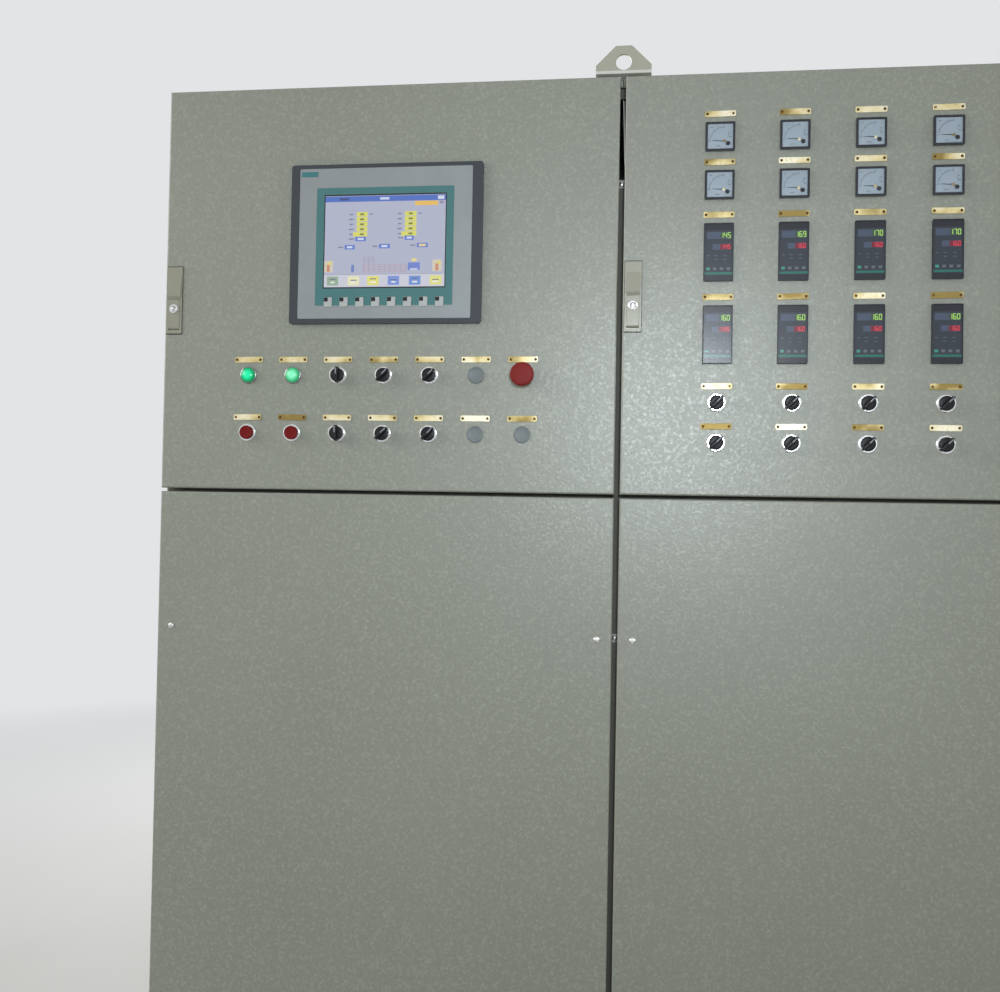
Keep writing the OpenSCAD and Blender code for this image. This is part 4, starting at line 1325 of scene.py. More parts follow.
LEFT_COLUMNS = tuple((i - 3) * 80.0 for i in range(7))
LEFT_ROWS = (DOOR_TOP - 502.0, DOOR_TOP - 602.0)
RIGHT_COLUMNS = tuple((i - 2) * 120.0 for i in range(5))
RIGHT_ROWS = (DOOR_TOP - 546.5, DOOR_TOP - 612.5)
METER_ROWS = (DOOR_TOP - 107.5, DOOR_TOP - 187.5)
CONTROLLER_ROWS = (DOOR_TOP - 299.0, DOOR_TOP - 435.0)


def left_spots() -> list[Spot]:
    """The left door's round devices, row by row."""
    knobs = (Device.SELECTOR, Device.SELECTOR, Device.SELECTOR)
    upper = (Device.LAMP, Device.LAMP, *knobs, Device.PLUG, Device.STOP)
    lower = (Device.BUTTON, Device.BUTTON, *knobs, Device.PLUG, Device.PLUG)
    spots = []
    for z, row in zip(LEFT_ROWS, (upper, lower)):
        for column, (x, kind) in enumerate(zip(LEFT_COLUMNS, row)):
            turn = 45.0 if kind is Device.SELECTOR and column > 2 else 0.0
            spots.append(Spot(kind, LEFT_X + x, z, turn))
    return spots


def right_spots() -> list[Spot]:
    """The right door's selectors, row by row."""
    return [Spot(Device.SELECTOR, RIGHT_X + x, z, 45.0) for z in RIGHT_ROWS for x in RIGHT_COLUMNS]


@dataclass
class RoundDevices:
    """Knobs, buttons, lamps and plugs of one door, and what shows of them behind it."""

    side: str
    spots: list[Spot]
    ring_proud: float = 4.0
    gap: float = 0.3
    grip_top: float = 12.5

    def of(self, kind: Device) -> list[Spot]:
        """The devices of one kind."""
        return [s for s in self.spots if s.kind is kind]

    def seats(self, *kinds: Device, y: float = FRONT_Y, way: float = 0.0) -> list[Matrix]:
        """The places of all devices of some kinds, without their turns.

        Args:
            *kinds: The kinds.
            y: Depth of the surface that carries the pieces, in millimetres.
            way: 0 for pieces that face the front, 180 for the rear.

        Returns:
            One matrix for each device.
        """
        return [facing(s.x, s.z, y, 0.0, way) for s in self.spots if s.kind in kinds]

    def nut(self) -> Object:
        """Models the nut that holds a device from behind the door."""
        return BENCH.turned("nut", [(13.2, -6.0), (14.0, -5.6), (14.0, -2.4), (13.2, -2.0)], 12)

    def knob(self) -> Object:
        """Models a selector's knob, its pointer up, its base at Z 0."""
        top = self.grip_top
        base = BENCH.turned(
            "knob", [(11.2, 0), (11.9, 0.5), (11.9, 3.2), (11.4, 4.0), (10.2, 4.4), (5.0, 4.6)], 48
        )
        grip = BENCH.block("grip", (-4.5, -14, 1.0), (4.5, 14, top))
        BENCH.pick_edges(grip, lambda middle, way: abs(way.y) > ALONG)
        bpy.ops.mesh.subdivide(number_cuts=2)
        BENCH.clear()
        BENCH.pick_faces(grip, lambda middle, normal: abs(normal.y) > ALONG)
        bpy.ops.transform.resize(value=(0.52, 1, 1), center_override=(0, 0, 0))
        BENCH.clear()
        BENCH.pick_faces(grip, on_top)
        bpy.ops.transform.resize(value=(0.6, 0.94, 1), center_override=(0, 0, top * MM))
        BENCH.clear()
        BENCH.round_edges(grip, 1.1, 3)
        return BENCH.combine(base, grip, "UNION")

    def pointer(self) -> Object:
        """Models the pale line on a knob's grip."""
        line = BENCH.block("pointer", (-1.0, 0.5, self.grip_top - 0.4), (1.0, 11.2, self.grip_top + 0.2))
        return BENCH.round_edges(line, 0.2, 2)

    def selectors(self) -> None:
        """Builds a knob with its pointer for each selector."""
        knob, pointer = self.knob(), self.pointer()
        for index, spot in enumerate(self.of(Device.SELECTOR), 1):
            name = f"{self.side}_selector_{index}"
            seat = facing(spot.x, spot.z, FRONT_Y - self.ring_proud - self.gap, spot.turn)
            ready_copies(f"{name}_knob", knob, [seat], name, "knob_black", Finish.KNOB, name, keep=True)
            ready_copies(f"{name}_pointer", pointer, [seat], name, "key_plastic", Finish.POINTER, keep=True)
        for template in (knob, pointer):
            bpy.data.objects.remove(template)

    def buttons(self) -> None:
        """Builds the push buttons with their dished faces, each on its stem."""
        profile = [
            (3.9, -4.0), (3.9, -0.05), (11.2, -0.05), (11.5, 0.3), (11.5, 3.9), (11.1, 4.6), (10.5, 4.8),
            (9.6, 4.6), (7.0, 4.3), (3.0, 4.2),
        ]
        button = BENCH.turned("button", profile, 48)
        for index, spot in enumerate(self.of(Device.BUTTON), 1):
            name = f"push_button_{index}"
            seat = facing(spot.x, spot.z, FRONT_Y - self.ring_proud)
            ready_copies(f"{name}_cap", button, [seat], name, "button_red", Finish.BUTTON, name, keep=True)
        bpy.data.objects.remove(button)

    def stop(self) -> None:
        """Builds the red mushroom, hollow round its stem, and the fixed neck that it slides over."""
        profile = [
            (3.9, -4.0), (3.9, 13.2), (9.6, 13.2), (9.6, 5.3), (10.4, 5.3), (10.6, 5.6), (10.6, 6.4),
            (13.0, 7.3), (18.4, 8.0), (19.7, 9.4), (20.0, 12.0), (20.0, 15.0), (19.7, 17.2), (19.0, 18.6),
            (17.8, 19.5), (16.2, 19.9), (12.0, 20.1), (4.0, 20.2),
        ]
        sleeve = [(4.4, 0.0), (9.2, 0.0), (9.2, 7.2), (8.8, 7.6), (4.4, 7.6), (4.4, 0.0)]
        for spot in self.of(Device.STOP):
            seat = facing(spot.x, spot.z, FRONT_Y - self.ring_proud)
            cap = BENCH.turned("stop_cap", profile, 64)
            name = "emergency_stop"
            ready_copies(f"{name}_cap", cap, [seat], name, "button_red", Finish.STOP, name)
            neck = BENCH.turned("stop_neck", sleeve, 48, ring=True)
            ready_copies(f"{name}_neck", neck, [seat], "left_door", "knob_black", Finish.BLOCK)

    def lamps(self) -> None:
        """Builds the lenses, their collars and their rear halves."""
        steps = [(12.2, 0.0), (12.6, 0.6), (12.6, 4.2)]
        reach, rings = 1.35, 8
        for ring in range(rings + 1):
            share = ring / rings
            radius = 12.4 * math.cos(share * reach)
            rise = 4.4 + 4.4 * math.sin(share * reach) / math.sin(reach)
            steps += [(radius, rise), (max(radius - 0.35, 0.8), rise + 0.22)]
        lens = BENCH.turned("lens", steps, 48)
        finishes = (Finish.LAMP_ONE, Finish.LAMP_TWO)
        for index, (spot, finish) in enumerate(zip(self.of(Device.LAMP), finishes), 1):
            seat = facing(spot.x, spot.z)
            ready_copies(f"lamp_lens_{index}", lens, [seat], "left_door", "lamp_green", finish, keep=True)
        bpy.data.objects.remove(lens)
        profile = [(12.8, 0), (15.0, 0), (15.0, 2.2), (14.2, 3.4), (13.2, 3.8), (12.8, 3.4), (12.8, 0)]
        collar = BENCH.turned("collar", profile, 48, ring=True)
        seats = self.seats(Device.LAMP)
        ready_copies("lamp_collars", collar, seats, "left_door", "ring_chrome", Finish.COLLAR)
        back = self.rear_half()
        ready_copies("lamp_backs", back, seats, "left_door", "knob_black", Finish.BLOCK, "indicator_lamps")

    def rear_half(self) -> Object:
        """Models neck, nut and lamp holder behind the door, which lies at Z 0 and below."""
        neck = BENCH.turned("neck", [(11.0, -42.0), (11.0, -0.1)], 32)
        nut = self.nut()
        holder = BENCH.slab("holder", 30, 40, -44, -6)
        BENCH.round_edges(holder, 1.2, 2)
        return BENCH.join("rear_half", [neck, nut, holder])

    def plugs(self) -> None:
        """Builds the grey blanking plugs, dished, with their nuts behind."""
        profile = [
            (11.0, -5.9), (11.0, -0.1), (13.9, 0.0), (14.25, 0.5), (14.25, 1.6), (13.6, 2.3), (12.8, 2.5),
            (12.2, 2.2), (11.6, 1.9), (4.0, 1.75),
        ]
        plug = BENCH.turned("plug", profile, 48)
        plug = BENCH.join("plug", [plug, self.nut()])
        seats = self.seats(Device.PLUG)
        ready_copies("plugs", plug, seats, "left_door", "plug_grey", Finish.PLUG, "blanking_plugs")

    def terminals(self) -> None:
        """Builds the clamp screws in their wells on the contact blocks behind the door, and the blocks'
        saddles.
        """
        parts = []
        for x in (-8.5, 8.5):
            for y in (-13.5, 13.5):
                well = BENCH.turned("well", [(3.4, -0.1), (3.4, 1.0), (2.9, 1.0), (2.9, 0.4)], 20)
                head = Screw(2.7, 1.0, 0.7, 16).template()
                for piece in (well, head):
                    parts.append(BENCH.place(piece, Matrix.Translation(metres((x, y, 0)))))
        unit = BENCH.join("terminals", parts)
        wired = (Device.SELECTOR, Device.BUTTON, Device.STOP, Device.LAMP)
        seats = self.seats(*wired, y=FRONT_Y + 44.0, way=180.0)
        body = f"{self.side}_door"
        ready_copies(f"{self.side}_terminals", unit, seats, body, "fitting_zinc", Finish.FITTING)
        saddle = BENCH.block("saddle", (-15.4, -3, 6), (15.4, 3, 30))
        BENCH.round_edges(saddle, 0.6, 2)
        seats = self.seats(*wired, way=180.0)
        ready_copies(f"{self.side}_block_saddles", saddle, seats, body, "plug_grey", Finish.PLUG)

    def build(self) -> None:
        """Builds every round device of the door."""
        self.selectors()
        if self.side == "left":
            self.buttons()
            self.stop()
            self.lamps()
            self.plugs()
        self.terminals()


@dataclass
class PanelMeters:
    """The square meters: dial, scale, needle, covers and pane."""

    columns: Sequence[float] = RIGHT_COLUMNS
    rows: Sequence[float] = METER_ROWS
    face_y: float = FRONT_Y - 3.8
    pivot: tuple[float, float] = (6.6, -8.0)
    scale_radius: float = 23.0
    dial: float = 0.35
    ink: float = 0.06

    def seats(self) -> list[Matrix]:
        """The middle of every meter's face."""
        return [facing(RIGHT_X + x, z, self.face_y) for z in self.rows for x in self.columns]

    def mark(self, angle: float, radius: float, width: float, length: float) -> Matrix:
        """The place of a printed mark that points away from the needle's pivot.

        Args:
            angle: Its direction from the pivot, in degrees.
            radius: Where it starts, in millimetres from the pivot.
            width: Its width across that direction.
            length: Its length along it.

        Returns:
            The matrix for the tick, which is 1 mm wide and long.
        """
        turn = Matrix.Rotation(math.radians(angle) - math.pi / 2, 4, "Z")
        out = turn @ Matrix.Translation(metres((0, radius, self.dial)))
        return self.at_pivot() @ out @ Matrix.Diagonal((width, length, self.ink, 1.0))

    def at_pivot(self) -> Matrix:
        """The place of the needle's pivot on the dial."""
        return Matrix.Translation(metres((*self.pivot, 0)))

    def dials(self) -> None:
        """The dial plates with their printed scales."""
        dial = BENCH.slab("dial", 40.6, 40.6, 0, self.dial)
        BENCH.round_edges(dial, 0.15, 2)
        plates = BENCH.copies("meter_dials", dial, self.seats())
        BENCH.tint(plates, linear(190, 207, 221))
        ready(plates, "right_door", "meter_black", Finish.DIAL)
        tick = BENCH.block("tick", (-0.5, 0, 0), (0.5, 1, 1))
        marks = []
        for step in range(21):
            size = (0.25, 1.7) if step % 5 else (0.45, 3.2)
            marks.append(self.mark(180 - step * 4.5, self.scale_radius, *size))
        for step in range(26):
            marks.append(self.mark(180 - step * 3.6, self.scale_radius - 0.35, 1.75, 0.35))
        words = ((15, 6, 3.5), (13.5, 2.0, 2.5), (16.0, -1.0, 4.5), (-4, -16.5, 7.0), (-14, 15, 3.0))
        for x, y, w in words:
            size = Matrix.Diagonal((w, 0.8, self.ink, 1.0))
            marks.append(Matrix.Translation(metres((x, y, self.dial))) @ size)
        scale = BENCH.copies("scale", tick, marks)
        scales = BENCH.copies("meter_scales", scale, self.seats())
        BENCH.tint(scales, linear(58, 66, 84))
        ready(scales, "right_door", "meter_black", Finish.DIAL)

    def needles(self) -> None:
        """Needle, pivot and corner cover of every meter."""
        needle = BENCH.block("needle", (-19.5, -0.8, 0.6), (3.0, 0.8, 0.8))
        BENCH.pick_faces(needle, lambda middle, normal: normal.x < -ALONG)
        bpy.ops.transform.resize(value=(1, 0.3, 1), center_override=metres((-19.5, 0, 0.7)))
        BENCH.clear()
        BENCH.place(needle, self.at_pivot() @ Matrix.Rotation(math.radians(-3), 4, "Z"))
        cover = BENCH.turned("cover", [(3.7, 0.3), (3.7, 0.7), (3.3, 0.9), (1.5, 0.92)], 28)
        BENCH.place(cover, Matrix.Translation(metres((12.6, -12.0, 0))))
        dark = BENCH.join("needle", [needle, cover])
        ready_copies("meter_needles", dark, self.seats(), "right_door", "knob_black", Finish.KNOB)
        pivot = BENCH.turned("pivot", [(2.4, 0.3), (2.4, 0.75), (1.7, 0.9)], 20)
        BENCH.place(pivot, self.at_pivot())
        ready_copies("meter_pivots", pivot, self.seats(), "right_door", "brass", Finish.BRASS)

    def panes(self) -> None:
        """The clear panes in the bezels."""
        pane = BENCH.slab("pane", 42.6, 42.6, 0.98, 1.12)
        BENCH.round_edges(pane, 0.04, 1)
        ready_copies("meter_panes", pane, self.seats(), "right_door", "screen", Finish.PANE)

    def build(self) -> None:
        """Builds the pieces of all meters."""
        self.dials()
        self.needles()
        self.panes()


SEGMENTS = {
    "0": "abcdef", "1": "bc", "4": "bcfg", "5": "acdfg", "6": "acdefg", "7": "abc", "9": "abcdfg",
}


@dataclass
class Controllers:
    """The temperature controllers: printed fronts, windows, keys and lit numbers."""

    columns: Sequence[float] = RIGHT_COLUMNS
    rows: Sequence[float] = CONTROLLER_ROWS
    face_y: float = FRONT_Y - 3.8
    upper: Sequence[str] = ("145", "169", "170", "170", "165")
    lower: Sequence[str] = ("160", "160", "160", "160", "155")

    def seats(self, row: float) -> list[Matrix]:
        """The middle of every controller's face in one row."""
        return [facing(RIGHT_X + x, row, self.face_y) for x in self.columns]

    def front(self) -> list[Tile]:
        """The printed front, from the controller's middle."""
        body, band = linear(58, 65, 76), linear(38, 42, 50)
        window, mark = linear(84, 97, 120), linear(104, 112, 120)
        teal = linear(46, 128, 116)
        tiles = [
            Tile(0, 0, 44.9, 92.9, body),
            Tile(0, 41.2, 44.9, 10.5, band, 0.1),
            Tile(0, -42.5, 44.9, 7.9, band, 0.1),
            Tile(0.2, 27.5, 39.2, 11.3, window, 0.1),
            Tile(11.0, 27.5, 18.4, 10.3, linear(74, 92, 84), 0.2),
            Tile(5.0, 8.6, 29.6, 9.4, window, 0.1),
            Tile(10.9, 8.6, 17.9, 8.6, linear(140, 44, 62), 0.2),
            Tile(0, -35.3, 44.9, 3.6, teal, 0.1),
        ]
        for x, y in ((-16.7, -6), (-4.3, -6), (10.3, -6), (-4.3, -12), (10.3, -12)):
            tiles.append(Tile(x, y, 5.0, 1.2, mark, 0.1))
            tiles.append(Tile(x, y - 2.4, 1.8, 1.8, linear(60, 66, 76), 0.1))
        return tiles

    def keys(self) -> list[Tile]:
        """The four keys under the marks, the first one teal."""
        grey, teal = linear(112, 119, 128), linear(74, 166, 146)
        return [
            Tile(x, -27.8, 5.6, 4.6, teal if x < -14 else grey, 0.1) for x in (-16.7, -6.1, 4.8, 16.1)
        ]

    def segment_tiles(self, text: str, right: float, y: float, height: float, tone: Colour) -> list[Tile]:
        """The lit segments of a number.

        Args:
            text: The number's digits.
            right: Right edge of the last digit.
            y: Middle of the digits.
            height: Height of a digit.
            tone: Colour of the light.

        Returns:
            One tile for each lit segment.
        """
        width, bar = height * 0.46, height * 0.15
        places = {
            "a": (0, height / 2, width, bar), "g": (0, 0, width, bar), "d": (0, -height / 2, width, bar),
            "b": (width / 2, height / 4, bar, height / 2), "c": (width / 2, -height / 4, bar, height / 2),
            "f": (-width / 2, height / 4, bar, height / 2), "e": (-width / 2, -height / 4, bar, height / 2),
        }
        tiles = []
        for index, digit in enumerate(reversed(text)):
            x = right - width / 2 - index * height * 0.72
            for segment in SEGMENTS[digit]:
                dx, dy, w, h = places[segment]
                tiles.append(Tile(x + dx, y + dy, w * 0.92, h * 0.92, tone, 0.25))
        return tiles

    def build(self) -> None:
        """Builds fronts, keys and numbers of all controllers."""
        seats = [seat for row in self.rows for seat in self.seats(row)]
        ready(
            Picture("controller_fronts", self.front()).build(seats),
            "right_door", "controller_dark", Finish.FILM,
        )
        keys = Picture("controller_keys", self.keys(), 0.7).build(seats)
        ready(BENCH.round_edges(keys, 0.2, 1), "right_door", "controller_dark", Finish.FILM)
        green, red = linear(176, 232, 96), linear(226, 62, 84)
        lit = []
        for row, numbers in zip(self.rows, (self.upper, self.lower)):
            for index, (seat, text) in enumerate(zip(self.seats(row), numbers)):
                tiles = self.segment_tiles(text, 18.8, 27.5, 8.4, green)
                tiles += self.segment_tiles("160" if index else "145", 18.4, 8.6, 7.0, red)
                lit.append(Picture(f"number_{index}", tiles).build([seat]))
        ready(BENCH.join("controller_numbers", lit), "right_door", "lamp_green", Finish.DIGITS)


@dataclass
class FlushLock:
    """The key cylinder of one door's flush lock, and a thin dark rim round the lock's plate as painted
    shadow.
    """

    side: str
    door_x: float
    lock_x: float = -DOOR_W / 2 + 17.0
    top_z: float = DOOR_TOP - 312.0
    cylinder_drop: float = 56.0 + 0.8 + 17.0
    side_margin: float = 0.7
    end_margin: float = 1.6

    def gasket(self) -> None:
        """Builds a thin dark rim round the lock's plate, in the shape of a gasket: painted shadow for the
        shadow gap at the plate's edges.
        """
        low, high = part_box(f"{self.side}_lock_body")
        x0, x1 = low.x / MM - self.side_margin, high.x / MM + self.side_margin
        z0, z1 = low.z / MM - self.end_margin, high.z / MM + self.end_margin
        # Painted shadow: a dark foam rim stands for the shadow gap round the lock plate.
        gasket = BENCH.block("gasket", (x0, FRONT_Y - 0.5, z0), (x1, FRONT_Y - 0.02, z1))
        BENCH.round_edges(gasket, 1.0, 3, lambda middle, way: abs(way.y) > ALONG)
        inner = BENCH.block("inner", (x0 + 1.2, FRONT_Y - 2, z0 + 2.1), (x1 - 1.2, FRONT_Y + 2, z1 - 2.1))
        gasket = BENCH.combine(gasket, inner, "DIFFERENCE")
        gasket.name = f"{self.side}_lock_gasket"
        ready(gasket, f"{self.side}_door", "foam", Finish.FOAM)

    def build(self) -> None:
        """Builds the dark rim of painted shadow round the lock and the cylinder on the lever."""
        self.gasket()
        steps = [(4.9, 0), (7.75, 0), (7.75, 0.9), (7.0, 1.5), (5.4, 1.5), (4.9, 1.0), (4.9, 0)]
        ring = BENCH.turned("ring", steps, 40, ring=True)
        plug = BENCH.turned("plug", [(4.6, 0), (4.6, 0.5), (4.2, 0.75)], 36)
        keyway = BENCH.block("keyway", (-0.75, -3.2, 0.2), (0.75, 3.2, 2))
        plug = BENCH.combine(plug, keyway, "DIFFERENCE")
        seat = facing(self.door_x + self.lock_x, self.top_z - self.cylinder_drop, FRONT_Y - 3.7)
        lever = f"{self.side}_lock_lever"
        ready_copies(f"{self.side}_cylinder_ring", ring, [seat], lever, "ring_chrome", Finish.CHROME)
        ready_copies(f"{self.side}_cylinder_plug", plug, [seat], lever, "ring_chrome", Finish.SCREW)


@dataclass
class Cabinet:
    """The fixed cabinet: finishes of the CAD nodes, and its screws and bolts."""

    nodes: dict[str, Object]
    post_face: float = 335.0
    punch_pitch: float = 25.0
    coupling_drops: Sequence[float] = (172.0, 941.0, 1700.0)

    def fasten(self, name: str, template: Object, seats: Sequence[Matrix]) -> None:
        """Puts a screw or bolt on every place of the cabinet that is given."""
        ready_copies(name, template, seats, "cabinet", "fitting_zinc", Finish.FITTING)

    def finishes(self) -> None:
        """Gives every CAD node its finish."""
        WARDROBE.dress_nodes(self.nodes, {
            Finish.DOOR: (
                "left_upper_door", "right_upper_door", "left_lower_cover", "right_lower_cover",
                "roof_panels", "side_panels", "back_panels",
            ),
            Finish.FRAME: (
                "frame_posts", "frame_rails", "floor_plates", "mounting_plates", "left_door_bars",
                "right_door_bars",
            ),
            Finish.FITTING: ("left_latch_rod", "right_latch_rod"),
            Finish.HINGE: (
                "bay_couplings", "hinge_brackets", "left_door_hinges", "right_door_hinges",
            ),
            Finish.LUG: ("lifting_lugs",),
            Finish.PLINTH: ("plinth_corners", "plinth_panels"),
            Finish.FOAM: ("left_door_seal", "right_door_seal"),
            # The bay seal's grey is partly painted shade for the gap between the bays.
            Finish.STRIP: ("bay_seal",),
            Finish.LOCK: ("left_lock_body", "right_lock_body", "left_lock_lever", "right_lock_lever"),
            Finish.BRASS: ("left_name_plates", "right_name_plates"),
            Finish.CASE: ("operator_panel_case",),
            Finish.SILVER: ("operator_panel_plate",),
            Finish.GLASS_DARK: ("operator_panel_screen",),
            Finish.KEY: ("operator_panel_keys",),
            Finish.PLUG: ("blanking_plugs", "indicator_lamps"),
            Finish.RINGS: ("left_switch_bases", "right_switch_bases"),
            Finish.METER: ("panel_meters",),
            Finish.CONTROLLER: ("temperature_controllers",),
            Finish.STOP: ("emergency_stop",),
            Finish.BUTTON: ("push_button_1", "push_button_2"),
            Finish.KNOB: tuple(n for n in self.nodes if "_selector_" in n),
        })

    def cover_screws(self) -> None:
        """The slotted screws of the lower covers."""
        seats = []
        for bay in (LEFT_X, RIGHT_X):
            for x in (-370.5, 370.5):
                for z in (COVER_TOP - 235.0, COVER_BOTTOM + 235.0):
                    seats.append(facing(bay + x, z, turn=bay * 0.3 + x + z))
        self.fasten("cover_screws", Screw(5.0, 3.0, 1.2, 28).template(), seats)

    def gap_seals(self) -> None:
        """The rubber strips on the rails behind the gaps between doors and covers, whose grey stands in for
        the shade in the gaps: painted shade.
        """
        low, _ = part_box("bay_seal")
        strips = []
        for bay, x0, x1 in ((LEFT_X, -395, 380), (RIGHT_X, -380, 395)):
            # Painted shade: grey strips behind the gaps between doors and covers keep them dark.
            strip = BENCH.block("strip", (x0, 0, 0), (x1, 17, 3.5))
            BENCH.round_edges(strip, 0.3, 2)
            strips.append(BENCH.place(strip, facing(bay, COVER_TOP + 0.05, low.y / MM)))
        ready(BENCH.join("gap_seals", strips), "cabinet", "foam", Finish.STRIP)
        seats = [facing(0.0, DOOR_TOP - drop, low.y / MM, 30.0) for drop in self.coupling_drops]
        self.fasten("coupling_screws", Screw(4.2, 2.4, 1.0, 20).template(), seats)
        seam = BENCH.block("seam_seal", (-15, 276.5, 102), (15, 280, 2082))
        BENCH.round_edges(seam, 1.0, 2)
        ready(seam, "cabinet", "foam", Finish.FOAM)

    def punchings(self) -> None:
        """The row of punched holes in each frame post, at the usual pitch, each a thin dark disc on the
        post's face: painted shade for the hole's inside.
        """
        # Painted shade: dark discs stand for the dark insides of the holes.
        hole = BENCH.turned("hole", [(4.4, -0.05), (4.4, 0.06), (4.1, 0.1), (1.0, 0.1)], 16)
        seats = []
        for bay in (LEFT_X, RIGHT_X):
            for side in (-1, 1):
                for step in range(77):
                    z = 150.0 + step * self.punch_pitch
                    seats.append(facing(bay + side * self.post_face, z, -252.0, 0.0, -90.0 * side))
                    seats.append(facing(bay + side * (self.post_face + 28.0), z, 235.0))
        ready_copies("frame_punchings", hole, seats, "cabinet", "case_dark", Finish.BLOCK)

    def plate_bolts(self) -> None:
        """The bolts of the mounting plates."""
        low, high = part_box("mounting_plates")
        seats = []
        for bay in (LEFT_X, RIGHT_X):
            for x in (-330, 330):
                for z in (low.z / MM + 30, (low.z + high.z) / 2 / MM, high.z / MM - 30):
                    seats.append(facing(bay + x, z, low.y / MM))
        self.fasten("plate_bolts", Bolt(13.0, 5.3, 24.0).template(), seats)

    def panel_screws(self) -> None:
        """The screws of back, sides and roof."""
        seats = []
        for x in (-785, -400, -15, 15, 400, 785):
            for z in (125, 760, 1420, 2068) if abs(x) != 400 else (125, 2068):
                seats.append(facing(x, z, 300.0, x + z, 180.0))
        for side in (-1, 1):
            for y in (-255, 5, 265):
                for z in (130, 2060) if y == 5 else (130, 760, 1420, 2060):
                    seats.append(facing(side * 800.0, z, y, y + z, 90.0 * side))
        self.fasten("panel_screws", Screw(5.5, 2.6, 1.2, 24).template(), seats)

    def roof_bolts(self) -> None:
        """The bolts of the roof and of the lifting lugs."""
        seats = []
        for x in (-760, -60, 60, 760):
            for y in (-235, 265):
                seats.append(Matrix.Translation(metres((x, y, ROOF_Z))))
        self.fasten("roof_bolts", Bolt(13.0, 5.3, 20.0).template(), seats)
        seats = []
        for x in (-28, 28):
            for y in (-252, 252):
                seats.append(Matrix.Translation(metres((x, y, ROOF_Z + 5.0))))
        self.fasten("lug_bolts", Bolt(18.0, 7.5, 24.0).template(), seats)

    def plinth_screws(self) -> None:
        """The screws of the plinth's panels."""
        seats = []
        for x in (-748, -120, 120, 748):
            for z in (30, 70):
                seats.append(facing(x, z, -269.0))
                seats.append(facing(x, z, 269.0, 0.0, 180.0))
        self.fasten("plinth_screws", Bolt(10.0, 4.0, 15.0).template(), seats)

    def build(self) -> None:
        """Builds the cabinet's own pieces."""
        self.finishes()
        self.cover_screws()
        self.gap_seals()
        self.punchings()
        self.plate_bolts()
        self.panel_screws()
        self.roof_bolts()
        self.plinth_screws()


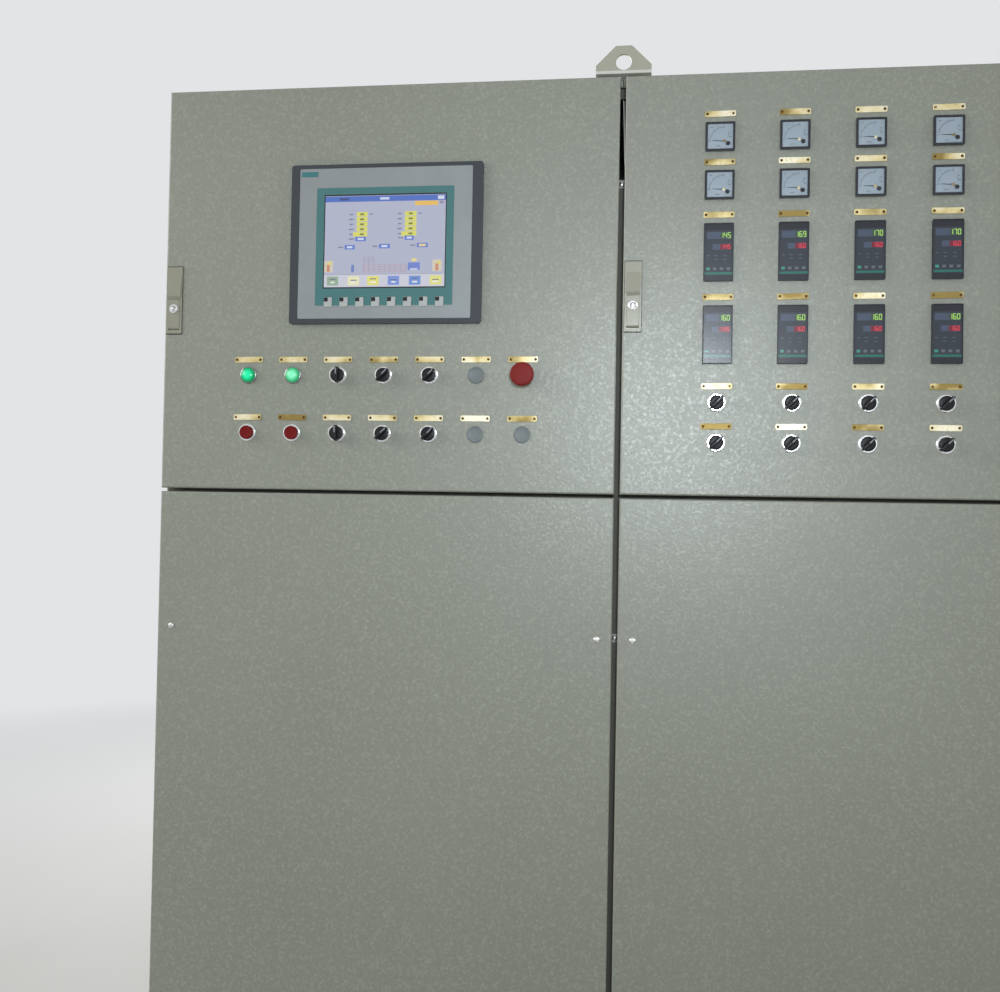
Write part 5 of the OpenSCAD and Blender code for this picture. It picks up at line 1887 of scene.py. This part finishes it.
@dataclass
class Studio:
    """Camera, lamps, floor and background."""

    camera_at: Point = (21.7, -2005.7, 1353.0)
    focal: float = 36.8
    yaw: float = -0.1264
    pitch: float = -0.0195
    roll: float = 0.0185
    sensor: float = 36.0
    backdrop: Colour = linear(226, 228, 230)
    floor_size: float = 30.0

    def camera(self) -> None:
        """Sets up the camera as it stood for the photograph."""
        lens = bpy.data.cameras.new("camera")
        lens.lens = self.focal
        lens.sensor_width = self.sensor
        lens.clip_start = 0.05
        lens.clip_end = 100.0
        level = Matrix(((1, 0, 0), (0, 0, -1), (0, 1, 0)))
        turn = Matrix.Rotation(self.yaw, 3, "Z")
        tilt = Matrix.Rotation(self.pitch, 3, "X")
        lean = Matrix.Rotation(self.roll, 3, "Z")
        axes = (lean @ tilt @ level @ turn).transposed() @ Matrix.Diagonal((1, -1, -1))
        holder = bpy.data.objects.new("camera", lens)
        holder.matrix_world = Matrix.Translation(metres(self.camera_at)) @ axes.to_4x4()
        bpy.context.scene.collection.objects.link(holder)
        bpy.context.scene.camera = holder

    def lamp(
        self, name: str, at: Point, aim: Point, size: float, power: float, tone: Colour, spread: float = 180
    ) -> None:
        """Adds a square lamp.

        Args:
            name: The lamp's name.
            at: Its place, in millimetres.
            aim: The point that it faces.
            size: Its side in millimetres.
            power: Its power in watts.
            tone: Its colour.
            spread: Angle of its beam, in degrees.
        """
        light = bpy.data.lights.new(name, "AREA")
        light.spread = math.radians(spread)
        light.size = size * MM
        light.energy = power
        light.color = tone
        holder = bpy.data.objects.new(name, light)
        holder.location = metres(at)
        way = metres(aim) - metres(at)
        holder.rotation_euler = way.to_track_quat("-Z", "Y").to_euler()
        bpy.context.scene.collection.objects.link(holder)

    def lamps(self) -> None:
        """Adds the soft lamps."""
        self.lamp("front_lamp", (190, -2300, 1740), (30, -300, 1500), 320, 5.6, (0.86, 0.94, 1.0), 108)
        self.lamp("left_lamp", (-4000, -1700, 2800), (-400, 0, 1100), 2200, 78.0, (1.0, 0.98, 0.93))
        self.lamp("right_lamp", (4200, -700, 2800), (400, 0, 1100), 2200, 75.0, (1.0, 1.0, 0.98))
        self.lamp("rear_lamp", (-1800, 4200, 3000), (0, 0, 1100), 2600, 130.0, (1.0, 1.0, 1.0))

    def world(self) -> None:
        """A white background that lights the object at a plain level."""
        world = bpy.data.worlds.new("studio")
        bpy.context.scene.world = world
        world.use_nodes = True
        graph = Graph(world.node_tree)
        graph.tree.nodes.clear()
        ambient = graph.add("ShaderNodeBackground", {"Color": (1.0, 1.0, 0.97), "Strength": 0.165})
        white = graph.add("ShaderNodeBackground", {"Color": self.backdrop, "Strength": 1.0})
        ray = graph.add("ShaderNodeLightPath").outputs
        seen = graph.maths("MAXIMUM", ray["Is Camera Ray"], ray["Is Glossy Ray"])
        seen = graph.maths("MAXIMUM", seen, ray["Is Transmission Ray"])
        mixed = graph.mix_shaders(seen, ambient.outputs[0], white.outputs[0])
        graph.add("ShaderNodeOutputWorld", {"Surface": mixed})

    def floor(self) -> None:
        """A wide pale floor under the cabinet."""
        BENCH.clear()
        bpy.ops.mesh.primitive_grid_add(
            x_subdivisions=4, y_subdivisions=4, size=self.floor_size, location=(0, 0, -0.0005)
        )
        ground = BENCH.settle(bpy.context.object)
        ground.name = "studio_floor"
        ground.data.materials.append(self.floor_finish())

    def floor_finish(self) -> Material:
        """Pale concrete that turns into the background a few metres away."""
        sheet = Sheet("floor_concrete")
        age = sheet.effect(EFFECTS.mottle, Scale=1.3).outputs["Tone"]
        tone = sheet.blend(age, (0.66, 0.66, 0.65), (0.74, 0.74, 0.73))
        material = sheet.surface({"Base Color": tone, "Roughness": 0.75})
        far = sheet.spread(sheet.length(sheet.place), 0.0, 1.0, 2.0, 6.0)
        ray = sheet.add("ShaderNodeLightPath").outputs
        seen = sheet.maths("MAXIMUM", ray["Is Camera Ray"], ray["Is Glossy Ray"])
        haze = sheet.add("ShaderNodeEmission", {"Color": self.backdrop}).outputs[0]
        mixed = sheet.mix_shaders(sheet.times(far, seen), sheet.shader.outputs["BSDF"], haze)
        sheet.set(sheet.end.inputs["Surface"], mixed)
        return material

    def build(self) -> None:
        """Sets up the studio."""
        self.camera()
        self.lamps()
        self.world()
        self.floor()
        bpy.context.scene.view_settings.view_transform = "Standard"


def plate_rows() -> tuple[list[float], list[float]]:
    """The heights of the name plates' middles over the floor, left and right door."""
    plate_half, ring_radius, ring_gap = 5.0, 15.0, 6.8
    meter_half, controller_half, case_gap = 24.0, 48.0, 9.5
    left = [z + ring_radius + ring_gap + plate_half for z in LEFT_ROWS]
    right = [z + meter_half + case_gap + plate_half for z in METER_ROWS]
    right += [z + controller_half + case_gap + plate_half for z in CONTROLLER_ROWS]
    right += [z + ring_radius + ring_gap + plate_half for z in RIGHT_ROWS]
    return left, right


def main() -> None:
    """Loads the frame and builds every part of the scene in order."""
    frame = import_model()
    Studio().build()
    Cabinet(frame["nodes"]).build()
    left_rows, right_rows = plate_rows()
    NamePlates("left", LEFT_X, LEFT_COLUMNS, left_rows, seed=3).build()
    NamePlates("right", RIGHT_X, RIGHT_COLUMNS, right_rows, seed=11).build()
    OperatorPanel().build()
    RoundDevices("left", left_spots()).build()
    RoundDevices("right", right_spots()).build()
    PanelMeters().build()
    Controllers().build()
    FlushLock("left", LEFT_X).build()
    FlushLock("right", RIGHT_X).build()
    BENCH.clear()


if __name__ == "__main__":
    logging.basicConfig(level=logging.INFO, format="%(message)s")
    main()
